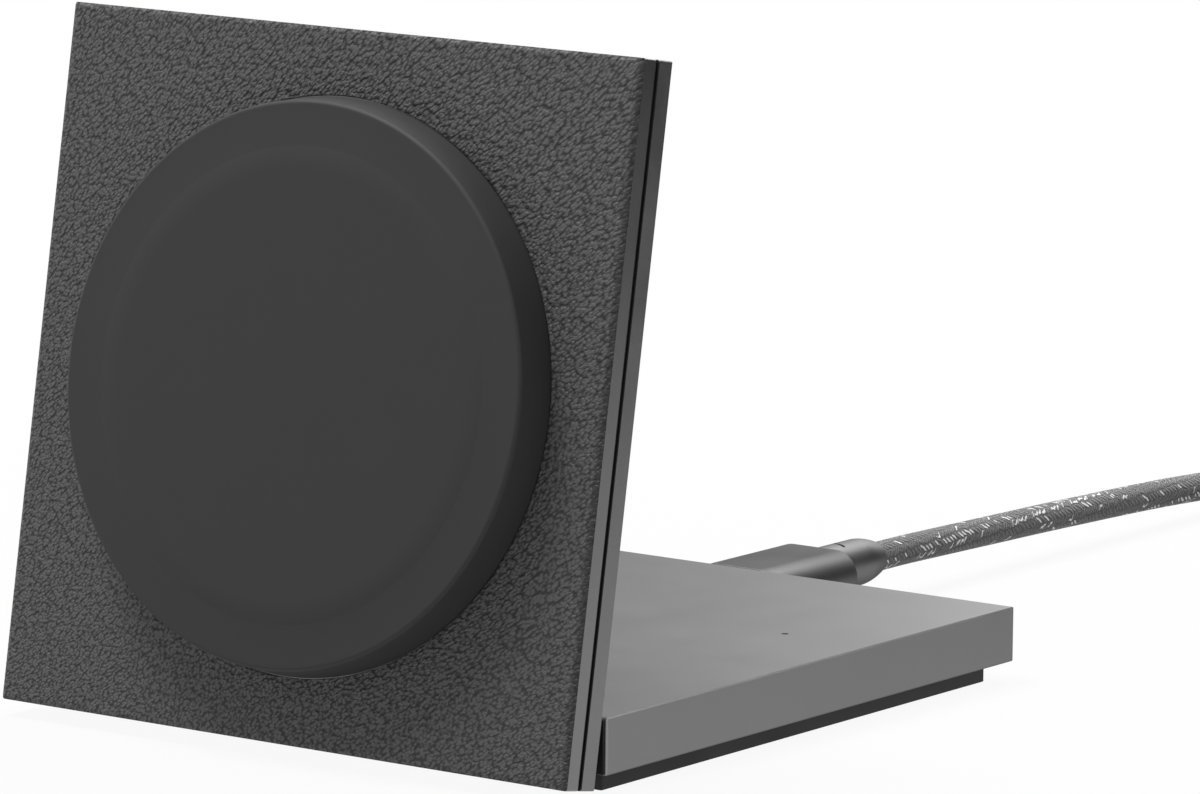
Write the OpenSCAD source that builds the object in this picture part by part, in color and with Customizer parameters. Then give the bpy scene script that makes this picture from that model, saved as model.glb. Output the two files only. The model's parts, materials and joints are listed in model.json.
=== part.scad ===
// Folding magnetic charging stand: a leather-faced panel with a round charging puck,
// held by two friction hinges on a weighted metal base, and its USB-C lead.
// Millimetres. +Z is up, the puck faces -Y, the origin is the middle of the foot pad's underside.

/* [Overall] */
// Width of the stand, base and panel alike
stand_w = 76; // [72:1:90]
// Depth of the base's metal shell
base_d = 77; // [74:1:96]
// Height of the panel along its face
panel_h = 76; // [72:1:92]
// Backward lean of the open panel, in degrees
lean = 9.6; // [7:0.2:13]
// Radius of the upright corners of the shell and the plates
corner_r = 0.25; // [0.15:0.05:1.2]
// Bevel along the metal edges
edge_bevel = 0.15; // [0.1:0.05:0.4]

/* [Base] */
// Height of the base's metal shell
slab_t = 6.15; // [5.9:0.05:8]
// Thickness of the shell's top wall
top_wall = 1.2; // [1:0.05:1.4]
// Thickness of the shell's side walls
side_wall = 1.5; // [1.2:0.1:2]
// Thickness of the floor plate
floor_t = 1; // [0.8:0.05:1.1]
// Gap around the floor plate in the shell
floor_gap = 0.1; // [0.05:0.01:0.2]
// Thickness of the rubber foot pad
pad_t = 2.25; // [1.9:0.05:3]
// How far the foot pad stays inside the shell's edges
pad_inset = 2.3; // [2:0.1:5]
// Thickness of the front cap's flange
cap_flange = 0.35; // [0.25:0.05:0.45]
// Depth of the front cap inside the shell
cap_depth = 1.1; // [0.8:0.1:1.3]
// Thickness of the steel ballast plate
ballast_t = 3.4; // [2:0.1:3.6]
// Width of the ballast plate
ballast_w = 64; // [50:1:66]
// Diameter of the status light's pinhole
light_d = 0.7; // [0.5:0.1:1.2]
// Status light's distance from the shell's right side
light_inset = 11.2; // [10.4:0.2:14]
// Status light's distance from the shell's back face
light_back = 28.6; // [25:0.1:30]

/* [Hinge] */
// Hinge axis behind the shell's front face
hinge_back = 1.9; // [1.85:0.05:2.1]
// Hinge axis below the shell's top face
hinge_down = 2; // [1.9:0.05:2.2]
// Hinge axis to the panel's rear face
plane_gap = 3; // [3:0.05:3.4]
// Hinge axis to the panel's bottom edge, along the panel
foot_drop = 6; // [5:0.1:6.4]
// Distance of each hinge's middle from the stand's side
hinge_inset = 14; // [11:0.5:18]
// Outer diameter of the hinge barrels
barrel_d = 3.6; // [3.2:0.05:3.7]
// Diameter of the hinge pins
pin_d = 2; // [1.6:0.05:2.2]
// Running clearance of the leaf's barrel on its pin, per side
pin_clear = 0.04; // [0.02:0.01:0.08]
// Width of the panel leaf's barrel
knuckle_w = 6; // [4:0.1:7]
// Width of each bracket lug
lug_w = 2.5; // [1.6:0.1:3]
// Thickness of the friction washers
washer_t = 0.3; // [0.2:0.05:0.5]
// Side clearance between a washer and the leaf's barrel
side_clear = 0.03; // [0.02:0.01:0.08]
// Thickness of the leaf's neck
neck_t = 2.4; // [1.8:0.1:2.8]
// Thickness of the leaf and bracket plates
leaf_t = 0.9; // [0.7:0.05:1]
// Width of the leaf and bracket plates
leaf_w = 14; // [12:0.5:16]
// Shank diameter of the small screws
screw_d = 1.4; // [1:0.1:1.6]
// Head diameter of the small screws
head_d = 2.6; // [2:0.1:3]
// Head height of the small screws
head_t = 0.3; // [0.2:0.05:0.35]

/* [Panel] */
// Thickness of the rear metal plate
rear_t = 2.45; // [2.3:0.05:3.2]
// Wall left behind the rear plate's pocket
rear_wall = 1.2; // [1:0.05:1.3]
// Width of the black seam between the plates
seam_t = 0.55; // [0.4:0.05:1]
// Depth of the seam below the plates' edges
seam_inset = 0.5; // [0.3:0.1:1]
// Thickness of the front plate
front_t = 1.95; // [1.5:0.05:2]
// Thickness of the leather
leather_t = 0.25; // [0.2:0.05:0.6]
// Roll-off along the leather's front edge
leather_edge = 0.15; // [0.05:0.05:0.15]
// Width of the ledge that the puck's tray sits on
seat_w = 3.65; // [3.4:0.05:4.5]

/* [Puck] */
// Taper of the puck's side wall, per side
puck_taper = 0.6; // [0.2:0.1:1]
// How far the puck stands out of the leather
puck_rise = 4.7; // [4.4:0.1:6]
// Rounding of the puck's face edge
puck_round = 0.5; // [0.3:0.1:0.8]
// How far the crease around the puck's pillow lies outside the charging coil
crease_out = 3.9; // [3:0.1:5]
// Height of the pillow above the outer ring
pillow_rise = 0.25; // [0.1:0.05:0.4]
// Width of the pillow's sloping edge
pillow_slope = 2.8; // [1:0.1:3]
// Wall of the puck's cover
cover_wall = 1; // [0.8:0.1:1.2]
// Gap between the tray and the cover
tray_gap = 0.1; // [0.05:0.01:0.3]
// Thickness of the tray's flange
tray_t = 1; // [0.8:0.1:1.2]
// Outer diameter of the charging coil
coil_d = 43; // [38:0.5:44]
// Inner diameter of the charging coil
coil_hole_d = 20.5; // [16:0.5:24]
// Thickness of the charging coil
coil_t = 1; // [0.6:0.1:1.3]
// Thickness of the ferrite disc
ferrite_t = 0.6; // [0.4:0.1:0.8]
// Gap between the charging coil and the magnets
coil_gap = 1.7; // [1.2:0.1:2]
// Radial width of the magnets
magnet_w = 4; // [3.4:0.1:4.2]
// Gap between the magnets and the puck's cover
magnet_gap = 1.95; // [1:0.05:2.5]
// Thickness of the magnets
magnet_t = 2.1; // [1.6:0.1:2.2]
// Number of magnets in the ring
magnet_count = 18; // [12:1:24]
// Thickness of the steel ring under the magnets
shield_t = 0.5; // [0.3:0.05:0.7]
// Width of the charging board
board_w = 32; // [26:1:33]
// Height of the charging board along the panel
board_h = 26; // [22:1:27]
// Thickness of the circuit boards
board_t = 0.8; // [0.6:0.1:1]

/* [Socket and plug] */
// Outer width of the socket's shell
socket_w = 8.94; // [8.9:0.02:9.2]
// Outer height of the socket's shell
socket_h = 3.16; // [3.1:0.02:3.3]
// Length of the socket's shell
socket_l = 7.35; // [7:0.05:9]
// Wall of the socket's shell and of the plug's tube
shell_wall = 0.25; // [0.2:0.01:0.3]
// Width of the plug's metal tube
plug_w = 8.25; // [8:0.05:8.3]
// Height of the plug's metal tube
plug_h = 2.4; // [2.3:0.02:2.5]
// Length of the plug's metal tube
plug_l = 6.5; // [6:0.1:6.8]
// Gap between the plug's body and the base
plug_gap = 0.4; // [0.3:0.1:1]
// Width of the plug's body
grip_w = 12; // [9.5:0.1:12.3]
// Height of the plug's body
grip_h = 6.1; // [5.5:0.05:6.15]
// Length of the plug's body
grip_l = 15.8; // [14:0.1:20]
// Diameter of the round collar on the lead
collar_d = 5.5; // [4.6:0.1:5.8]
// Length of the collar
collar_l = 11.9; // [9:0.1:14]
// Length of the collar's tapered end
collar_taper = 3.7; // [2:0.1:5]
// Diameter of the collar at its end
collar_end_d = 3.9; // [3.8:0.1:4.4]

/* [Lead] */
// Diameter of the lead
lead_d = 3.45; // [3:0.05:3.6]
// Middle diameter of the stored coil
wind_d = 40; // [39:0.5:41]
// Spacing of the turns in the coil
wind_pitch = 3.5; // [3.45:0.01:3.6]
// Turns in each of the coil's two layers
wind_turns = 4.25; // [3.25:1:5.25]
// Thickness of the strap that ties the coil
strap_t = 0.6; // [0.4:0.05:1]
// Width of the strap
strap_w = 9; // [6:0.5:12]

/* [Hidden] */
$fn = 96;

// Heights in the base
slab_top = pad_t + slab_t;
floor_top = pad_t + floor_t;
ceiling = slab_top - top_wall;
axis_y = hinge_back - base_d / 2;
axis_z = slab_top - hinge_down;
socket_z = pad_t + slab_t / 2;
cut = 1;

// Room past the end of a screw in its blind hole, and the same where the wall is thin
blind_gap = 0.3;
thin_gap = 0.1;
floor_hole_top = ceiling - 0.4;

// Room for the barrels and the necks, per side
barrel_room = 0.3;
hinge_x = stand_w / 2 - hinge_inset;
hinge_span = knuckle_w + 2 * (washer_t + side_clear + lug_w);
notch_w = hinge_span + 2 * barrel_room;
notch_back = axis_y + barrel_d / 2 + barrel_room;
notch_floor = axis_z - barrel_d / 2 - barrel_room;

// Bracket plates hang from bosses under the shell's top wall
boss_d = 3.2;
boss_z = floor_top + 1.75;
bracket_y = notch_back + 0.6;
bracket_d = 7;
lug_root = 0.5;
pin_fit = 0.01;
washer_inset = 0.1;
bracket_screw_y = bracket_y + bracket_d / 2;
bracket_screw_x = leaf_w / 2 - 2;

// Floor screws sit beside the side walls, behind the brackets and near the rear corners
floor_screw_x = stand_w / 2 - side_wall - 3;
floor_screw_front = bracket_y + bracket_d + boss_d / 2 + 0.6;
floor_screw_rear = base_d / 2 - side_wall - 5;
light_x = stand_w / 2 - light_inset;
light_y = base_d / 2 - light_back;
led_w = 1.6;
led_d = 0.8;
led_t = 0.5;
light_sunk = 0.15;
cap_low = pad_t + 0.15;
cap_high = slab_top - edge_bevel - 0.05;
thread_clear = 0.03;

// Passage for the wires in the middle of the front edge
wire_d = 1;
wire_gap = 0.05;
wire_bore_d = 2;
wire_barrel_d = 3.2;
wire_barrel_w = 8;
wire_notch_w = 12.6;
wire_run_y = notch_back + 1.4;

// Circuit board in the rear of the base, with the ballast between it and the brackets
base_board_front = 6;
ballast_front = floor_screw_front + boss_d / 2 + 0.4;
ballast_back = base_board_front - 1.2;
ballast_r = 2;
base_board_back = base_d / 2 - side_wall - 0.6;
base_board_z = socket_z - board_t / 2;
base_board_left = -20;
base_board_right = light_x + 3;
socket_front = base_d / 2 - 0.1 - socket_l;
socket_slot_gap = 0.2;
tongue_block_l = 1.5;
tongue_w = 6.69;
tongue_t = 0.7;
tongue_back = 0.9;
wire_end_y = base_board_front + 2;
board_screw_x = 16;
board_screw_y = base_board_front + 4;

// Component bodies on both boards
chip_w = 5;
small_chip_w = 4;
chip_gap = 3;
chip_row = 9;
capacitor_count = 4;
capacitor_x = 14;
capacitor_step = 3.4;
capacitor_w = 2;
capacitor_d = 1.4;
parts_t = 0.9;
sensor_w = 2.4;
sensor_d = 1.6;
sensor_t = 0.7;

// Heights in the panel, measured from the hinge axis
rear_w = plane_gap;
pocket_w = rear_w + rear_wall;
seam_w = rear_w + rear_t;
front_w = seam_w + seam_t;
skin_w = front_w + front_t;
face_w = skin_w + leather_t;
panel_mid = panel_h / 2 - foot_drop;

// Leaf pockets in the rear plate
leaf_low = -4.2;
leaf_high = 5.8;
leaf_gap = 0.15;
leaf_screw_v = 3.6;
leaf_screw_x = leaf_w / 2 - 2.2;
leaf_hole_floor = rear_w + 0.4;

// The puck's diameters, from the coil outwards
magnet_in_d = coil_d + 2 * coil_gap;
magnet_out_d = magnet_in_d + 2 * magnet_w;
cover_bore_d = magnet_out_d + 2 * magnet_gap;
puck_d = cover_bore_d + 2 * cover_wall + 2 * puck_taper;
crease_d = coil_d + 2 * crease_out;
window_d = cover_bore_d - 2 * seat_w;
pocket_d = window_d - 1;

// Heights in the puck
puck_top = face_w + puck_rise;
puck_inside = puck_top - cover_wall;
coil_w = puck_inside - tray_gap - coil_t;
ferrite_w = coil_w - ferrite_t;
tray_flange_w = skin_w + tray_t;
tray_step_d = magnet_in_d - 1;
ferrite_d = tray_step_d - 0.6;
magnet_slot = 0.4;
tray_wall = 0.9;
shield_lip = 0.2;
shield_w = tray_flange_w;
magnet_low_w = shield_w + shield_t;
board_top_w = skin_w - tray_gap;
board_low_w = board_top_w - board_t;
post_wall = 0.25;
board_post = ferrite_w - post_wall - board_top_w;
parts_low_w = board_low_w - parts_t;
board_screw_u = board_w / 2 - 2.4;
board_screw_v = board_h / 2 - 2.4;
tray_screw_r = (window_d + puck_d) / 4 - 0.4;
panel_screw_x = stand_w / 2 - 4.5;
panel_screw_v = panel_h / 2 - 4.5;

// The plug's places along Y
plug_front = base_d / 2 + plug_gap;
collar_start = plug_front + grip_l;
lead_start = collar_start + collar_l;
collar_waist = 0.3;
collar_slot_y = 4;
collar_slot_w = 2;
collar_slot_l = 0.5;
collar_slot_depth = 0.35;

// The stored coil and the far plug, on the table
coil_span = wind_pitch * wind_turns;
coil_out_r = wind_d / 2 + coil_span / 2;
coil_in_r = wind_d / 2 - coil_span / 2;
coil_x = coil_out_r;
coil_y = 160;
coil_low = strap_t;
coil_h = wind_pitch + lead_d;
tail_x = coil_x + coil_out_r;
far_z = grip_h / 2;
far_collar_y = 128;
far_body_y = far_collar_y - collar_l;
far_shell_y = far_body_y - grip_l;

// The lead's route from the collar to the coil, then from the coil to the far collar
lead_route = [
  [0, lead_start, socket_z], [0, 72, socket_z], [0, 80, 5.2], [0, 88, 5.05], [0, 96, 4.9],
  [0, 104, 4.75], [0, 112, 4.55], [0, 120, 4.35], [0, 128, 4.1], [0, 137, 3.7], [0, 146, 3.2]
];
tail_route = [
  [tail_x, 146, 5.4], [tail_x, 142, 4.7], [tail_x, 138, 3.9], [tail_x, 134, 3.3],
  [tail_x, 131, far_z], [tail_x, far_collar_y, far_z]
];

// Whole-shape helpers
module block(low, high) {
  translate(low)
    cube(high - low);
}

module rounded_rect(w, d, r) {
  square([w - 2 * r, d], center = true);
  square([w, d - 2 * r], center = true);
  for (sx = [-1, 1], sy = [-1, 1])
    translate([sx * (w / 2 - r), sy * (d / 2 - r)])
      circle(r);
}

module stadium(w, h) {
  square([w - h, h], center = true);
  for (s = [-1, 1])
    translate([s * (w - h) / 2, 0])
      circle(h / 2);
}

// One corner of a plate's section, cut by a bevel, or sharp where the bevel is nought
function bevel_points(x, z, sx, sz, b) =
  b == 0 ? [[x, z]]
  : sx * sz > 0 ? [[x, z - sz * b], [x - sx * b, z]]
  : [[x - sx * b, z], [x, z - sz * b]];

// Outline of a plate's section, with its lower and upper edges bevelled
module bevelled_section(w, t, low, high) {
  polygon(concat(
    bevel_points(w / 2, t, 1, 1, high), bevel_points(-w / 2, t, -1, 1, high),
    bevel_points(-w / 2, 0, -1, -1, low), bevel_points(w / 2, 0, 1, -1, low)
  ));
}

// A plate lying on z = 0, centred, with round corners and bevelled edges
module plate(w, d, t, r, low, high) {
  intersection() {
    linear_extrude(t)
      rounded_rect(w, d, r);
    translate([0, d / 2 + cut, 0])
      rotate([90, 0, 0])
        linear_extrude(d + 2 * cut)
          bevelled_section(w, t, low, high);
    translate([-w / 2 - cut, 0, 0])
      rotate([90, 0, 90])
        linear_extrude(w + 2 * cut)
          bevelled_section(d, t, low, high);
  }
}

module rod(d, h) {
  cylinder(d = d, h = h);
}

module rod_x(d, x0, x1) {
  translate([x0, 0, 0])
    rotate([0, 90, 0])
      cylinder(d = d, h = x1 - x0);
}

module ring(outer, inner, h) {
  difference() {
    cylinder(d = outer, h = h);
    translate([0, 0, -cut])
      cylinder(d = inner, h = h + 2 * cut);
  }
}

// Puts the panel's own frame in place: x across, y up the panel, z out of its face
module panel_place() {
  translate([0, axis_y, axis_z])
    rotate([90 - lean, 0, 0])
      children();
}

module panel_centre(w) {
  translate([0, panel_mid, w])
    children();
}

module at_corners(x, y) {
  for (sx = [-1, 1], sy = [-1, 1])
    translate([sx * x, sy * y, 0])
      children();
}

// A small screw with its head up, its head's underside at z = 0
module screw(length) {
  rod(head_d, head_t);
  translate([0, 0, -length])
    rod(screw_d, length + head_t / 2);
}

// Base
module at_floor_screws(z) {
  for (sx = [-1, 1], y = [floor_screw_front, floor_screw_rear])
    translate([sx * floor_screw_x, y, z])
      children();
}

module shell_notch(w) {
  block([-w / 2, -base_d / 2 - cut, notch_floor], [w / 2, notch_back, slab_top + cut]);
}

module base_shell() {
  color("#87888a")
    difference() {
      translate([0, 0, pad_t])
        plate(stand_w, base_d, slab_t, corner_r, edge_bevel, edge_bevel);
      difference() {
        block(
          [-stand_w / 2 + side_wall, -base_d / 2 - cut, pad_t - cut],
          [stand_w / 2 - side_wall, base_d / 2 - side_wall, ceiling]
        );
        at_floor_screws(floor_top)
          rod(boss_d, slab_t);
        for (s = [-1, 1], t = [-1, 1])
          translate([s * hinge_x + t * bracket_screw_x, bracket_screw_y, boss_z])
            rod(boss_d, slab_t);
        for (s = [-1, 1])
          translate([s * board_screw_x, board_screw_y, base_board_z + board_t])
            rod(boss_d, slab_t);
      }
      at_floor_screws(floor_top - cut)
        rod(screw_d + 2 * thread_clear, cut + floor_hole_top - floor_top);
      for (s = [-1, 1], t = [-1, 1])
        translate([s * hinge_x + t * bracket_screw_x, bracket_screw_y, boss_z - cut])
          rod(screw_d + 2 * thread_clear, cut + ceiling - boss_z);
      for (s = [-1, 1])
        translate([s * board_screw_x, board_screw_y, base_board_z])
          rod(screw_d + 2 * thread_clear, ceiling - base_board_z);
      for (s = [-1, 1])
        translate([s * hinge_x, 0, 0])
          shell_notch(notch_w);
      shell_notch(wire_notch_w);
      translate([0, base_d / 2 + cut, socket_z])
        rotate([90, 0, 0])
          linear_extrude(side_wall + 2 * cut)
            stadium(socket_w + 2 * floor_gap, socket_h + 2 * floor_gap);
      translate([light_x, light_y, ceiling - cut])
        rod(light_d + 2 * thread_clear, top_wall + 2 * cut);
    }
}

module front_cap() {
  color("#141414")
    difference() {
      union() {
        block(
          [-stand_w / 2 + corner_r, -base_d / 2 - cap_flange, cap_low],
          [stand_w / 2 - corner_r, -base_d / 2, cap_high]
        );
        block(
          [-stand_w / 2 + side_wall + floor_gap, -base_d / 2, floor_top],
          [stand_w / 2 - side_wall - floor_gap, -base_d / 2 + cap_depth, ceiling - floor_gap]
        );
      }
      for (s = [-1, 1])
        translate([s * hinge_x, 0, 0])
          shell_notch(notch_w);
      shell_notch(wire_notch_w);
    }
}

module base_floor() {
  color("#3a3b3d")
    difference() {
      block(
        [-stand_w / 2 + side_wall + floor_gap, -base_d / 2 + floor_gap, pad_t],
        [stand_w / 2 - side_wall - floor_gap, base_d / 2 - side_wall - floor_gap, floor_top]
      );
      at_floor_screws(pad_t - cut) {
        rod(screw_d + 2 * floor_gap, floor_t + 2 * cut);
        rod(head_d + 2 * floor_gap, cut + head_t + floor_gap);
      }
    }
}

module foot_pad() {
  color("#1b1b1c")
    linear_extrude(pad_t)
      rounded_rect(stand_w - 2 * pad_inset, base_d - 2 * pad_inset, corner_r);
}

module floor_screws() {
  color("#9a9a9a")
    at_floor_screws(pad_t + head_t + floor_gap)
      mirror([0, 0, 1])
        screw(floor_hole_top - blind_gap - pad_t - head_t - floor_gap);
}

module ballast_plate() {
  color("#6d6f72")
    difference() {
      translate([0, (ballast_front + ballast_back) / 2, floor_top])
        linear_extrude(ballast_t)
          rounded_rect(ballast_w, ballast_back - ballast_front, ballast_r);
      block([-wire_d, -base_d / 2, floor_top - cut], [wire_d, base_board_front, slab_top]);
    }
}

module base_board() {
  color("#1f5a3c")
    difference() {
      block(
        [base_board_left, base_board_front, base_board_z],
        [base_board_right, base_board_back, base_board_z + board_t]
      );
      block(
        [-socket_w / 2 - socket_slot_gap, socket_front - tongue_block_l, base_board_z - cut],
        [socket_w / 2 + socket_slot_gap, base_d / 2, base_board_z + board_t + cut]
      );
      for (s = [-1, 1])
        translate([s * board_screw_x, board_screw_y, base_board_z - cut])
          rod(screw_d + 2 * floor_gap, board_t + 2 * cut);
    }
}

// A component body of width w and depth d, hanging h below a board, its corner at x, y
module chip(x, y, z, w, d, h) {
  translate([x, y, z - h])
    cube([w, d, h]);
}

// Controller, converter, inductor and a row of capacitors under the board
module base_board_parts() {
  row_y = base_board_front + chip_row;
  color("#2a2a2c") {
    chip(-chip_w, row_y, base_board_z, chip_w, chip_w, parts_t);
    chip(2 * chip_gap, row_y, base_board_z, small_chip_w, small_chip_w, parts_t);
    chip(-2 * chip_w - chip_gap, row_y, base_board_z, small_chip_w, small_chip_w, parts_t);
    for (i = [0 : capacitor_count - 1])
      chip(capacitor_x + i * capacitor_step, row_y, base_board_z, capacitor_w, capacitor_d, parts_t);
  }
}

module base_board_screws() {
  color("#9a9a9a")
    for (s = [-1, 1])
      translate([s * board_screw_x, board_screw_y, base_board_z])
        mirror([0, 0, 1])
          screw(ceiling - base_board_z - blind_gap);
}

module usb_socket_shell() {
  color("#b9babc")
    translate([0, socket_front + socket_l, socket_z])
      rotate([90, 0, 0])
        linear_extrude(socket_l)
          difference() {
            stadium(socket_w, socket_h);
            stadium(socket_w - 2 * shell_wall, socket_h - 2 * shell_wall);
          }
}

module usb_socket_tongue() {
  color("#1a1a1a") {
    translate([0, socket_front, socket_z])
      rotate([90, 0, 0])
        linear_extrude(tongue_block_l - socket_slot_gap)
          stadium(socket_w, socket_h);
    block(
      [-tongue_w / 2, socket_front - socket_slot_gap, socket_z - tongue_t / 2],
      [tongue_w / 2, socket_front + socket_l - tongue_back, socket_z + tongue_t / 2]
    );
  }
}

module status_light_pipe() {
  color("#d8dadc")
    translate([light_x, light_y, base_board_z + board_t + led_t])
      rod(light_d, slab_top - light_sunk - base_board_z - board_t - led_t);
}

module status_led() {
  color("#f2f2e8")
    block(
      [light_x - led_w / 2, light_y - led_d / 2, base_board_z + board_t],
      [light_x + led_w / 2, light_y + led_d / 2, base_board_z + board_t + led_t]
    );
}

// Hinges
module lug(x0) {
  difference() {
    union() {
      rod_x(barrel_d, x0, x0 + lug_w);
      block([x0, 0, -barrel_d / 2], [x0 + lug_w, bracket_y - axis_y + lug_root, 0]);
    }
    rod_x(pin_d + 2 * pin_fit, x0 - cut, x0 + lug_w + cut);
  }
}

module hinge_bracket(side) {
  color("#77797c")
    difference() {
      union() {
        translate([side * hinge_x, axis_y, axis_z]) {
          lug(-hinge_span / 2);
          lug(hinge_span / 2 - lug_w);
        }
        block(
          [side * hinge_x - leaf_w / 2, bracket_y, boss_z - leaf_t],
          [side * hinge_x + leaf_w / 2, bracket_y + bracket_d, boss_z]
        );
      }
      for (t = [-1, 1])
        translate([side * hinge_x + t * bracket_screw_x, bracket_screw_y, boss_z - leaf_t - cut])
          rod(screw_d + 2 * floor_gap, leaf_t + 2 * cut);
    }
}

module hinge_bracket_left() {
  hinge_bracket(-1);
}

module hinge_bracket_right() {
  hinge_bracket(1);
}

module hinge_pin(side) {
  color("#c4c6c8")
    translate([side * hinge_x, axis_y, axis_z])
      rod_x(pin_d, -hinge_span / 2, hinge_span / 2);
}

module hinge_pin_left() {
  hinge_pin(-1);
}

module hinge_pin_right() {
  hinge_pin(1);
}

module friction_washers() {
  color("#b08d57")
    for (s = [-1, 1], t = [-1, 1])
      translate([s * hinge_x + t * (hinge_span / 2 - lug_w - washer_t / 2), axis_y, axis_z])
        rotate([0, 90, 0])
          translate([0, 0, -washer_t / 2])
            ring(barrel_d - 2 * washer_inset, pin_d + 2 * pin_fit, washer_t);
}

module bracket_screws() {
  color("#9a9a9a")
    for (s = [-1, 1], t = [-1, 1])
      translate([s * hinge_x + t * bracket_screw_x, bracket_screw_y, boss_z - leaf_t])
        mirror([0, 0, 1])
          screw(leaf_t + ceiling - boss_z - blind_gap);
}

// The wires run from the board over the floor, rise beside the wire barrel and enter it on the axis
module base_wires() {
  turn_x = wire_barrel_w / 2 + wire_d;
  run_z = floor_top + wire_d / 2 + wire_gap;
  color("#202022") {
    translate([0, wire_end_y, run_z])
      rotate([90, 0, 0])
        rod(wire_d, wire_end_y - wire_run_y);
    translate([0, wire_run_y, run_z])
      rod_x(wire_d, 0, turn_x);
    translate([0, wire_run_y, run_z])
      sphere(d = wire_d);
    translate([turn_x, wire_run_y, run_z]) {
      sphere(d = wire_d);
      rotate([90, 0, 0])
        rod(wire_d, wire_run_y - axis_y);
    }
    translate([turn_x, axis_y, run_z]) {
      sphere(d = wire_d);
      rod(wire_d, axis_z - run_z);
    }
    translate([turn_x, axis_y, axis_z])
      sphere(d = wire_d);
    translate([0, axis_y, axis_z])
      rod_x(wire_d, wire_barrel_w / 2, turn_x);
    translate([0, wire_end_y, run_z])
      rod(wire_d, base_board_z - run_z);
    translate([0, wire_end_y, run_z])
      sphere(d = wire_d);
  }
}

// Panel, all in its own frame
module leaf_pocket(x, w) {
  block(
    [x - w / 2 - leaf_gap, leaf_low - leaf_gap, pocket_w],
    [x + w / 2 + leaf_gap, leaf_high + leaf_gap, seam_w + cut]
  );
}

module neck_slot(x, w) {
  block(
    [x - w / 2 - leaf_gap, -neck_t / 2 - leaf_gap, rear_w - cut],
    [x + w / 2 + leaf_gap, neck_t / 2 + leaf_gap, pocket_w + cut]
  );
}

module rear_plate() {
  color("#7e7f81")
    panel_place()
      difference() {
        panel_centre(rear_w)
          plate(stand_w, panel_h, rear_t, corner_r, edge_bevel, edge_bevel / 2);
        panel_centre(pocket_w)
          rod(pocket_d, rear_t);
        for (s = [-1, 1]) {
          leaf_pocket(s * hinge_x, leaf_w);
          neck_slot(s * hinge_x, knuckle_w);
          for (t = [-1, 1])
            translate([s * hinge_x + t * leaf_screw_x, leaf_screw_v, leaf_hole_floor])
              rod(screw_d + 2 * thread_clear, rear_t);
        }
        leaf_pocket(0, wire_barrel_w);
        neck_slot(0, wire_barrel_w);
        block(
          [-wire_d, 0, pocket_w],
          [wire_d, panel_mid, seam_w + cut]
        );
        panel_centre(0)
          at_corners(panel_screw_x, panel_screw_v)
            translate([0, 0, pocket_w])
              rod(screw_d + 2 * thread_clear, rear_t);
      }
}

module seam_frame() {
  color("#0b0b0b")
    panel_place()
      difference() {
        panel_centre(seam_w)
          linear_extrude(seam_t)
            rounded_rect(stand_w - 2 * seam_inset, panel_h - 2 * seam_inset, corner_r);
        panel_centre(seam_w - cut)
          rod(window_d, seam_t + 2 * cut);
        panel_centre(seam_w - cut)
          at_corners(panel_screw_x, panel_screw_v)
            rod(screw_d + 2 * floor_gap, seam_t + 2 * cut);
      }
}

module front_plate() {
  color("#3b3b3d")
    panel_place()
      difference() {
        panel_centre(front_w)
          plate(stand_w, panel_h, front_t, corner_r, edge_bevel / 2, 0);
        panel_centre(front_w - cut)
          rod(window_d, front_t + 2 * cut);
        panel_centre(0)
          at_corners(panel_screw_x, panel_screw_v) {
            translate([0, 0, front_w - cut])
              rod(screw_d + 2 * floor_gap, front_t + 2 * cut);
            translate([0, 0, skin_w - head_t - floor_gap])
              rod(head_d + 2 * floor_gap, front_t);
          }
        panel_centre(0)
          for (a = [45 : 90 : 315])
            rotate([0, 0, a])
              translate([tray_screw_r, 0, 0]) {
                translate([0, 0, front_w - cut])
                  rod(screw_d + 2 * floor_gap, front_t + 2 * cut);
                translate([0, 0, front_w - cut])
                  rod(head_d + 2 * floor_gap, cut + head_t + floor_gap);
              }
      }
}

module leather_face() {
  color("#3c3c3e")
    panel_place()
      difference() {
        panel_centre(skin_w)
          plate(stand_w, panel_h, leather_t, corner_r, 0, leather_edge);
        panel_centre(skin_w - cut)
          rod(puck_d + 2 * floor_gap, leather_t + 2 * cut);
      }
}

module panel_screws() {
  color("#9a9a9a")
    panel_place()
      panel_centre(skin_w - head_t - floor_gap)
        at_corners(panel_screw_x, panel_screw_v)
          screw(skin_w - head_t - floor_gap - pocket_w - blind_gap);
}

module leaf_body(x, w, d, bore, plate_w) {
  difference() {
    union() {
      translate([x, 0, 0])
        rod_x(d, -w / 2, w / 2);
      block([x - w / 2, -neck_t / 2, 0], [x + w / 2, neck_t / 2, pocket_w + leaf_t / 2]);
      block([x - plate_w / 2, leaf_low, pocket_w], [x + plate_w / 2, leaf_high, pocket_w + leaf_t]);
    }
    translate([x, 0, 0])
      rod_x(bore, -w / 2 - cut, w / 2 + cut);
  }
}

module hinge_leaf(side) {
  color("#77797c")
    panel_place()
      difference() {
        leaf_body(side * hinge_x, knuckle_w, barrel_d, pin_d + 2 * pin_clear, leaf_w);
        for (t = [-1, 1])
          translate([side * hinge_x + t * leaf_screw_x, leaf_screw_v, pocket_w - cut])
            rod(screw_d + 2 * floor_gap, leaf_t + 2 * cut);
      }
}

module hinge_leaf_left() {
  hinge_leaf(-1);
}

module hinge_leaf_right() {
  hinge_leaf(1);
}

module leaf_screws() {
  color("#9a9a9a")
    panel_place()
      for (s = [-1, 1], t = [-1, 1])
        translate([s * hinge_x + t * leaf_screw_x, leaf_screw_v, pocket_w + leaf_t])
          screw(pocket_w + leaf_t - leaf_hole_floor - thin_gap);
}

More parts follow.
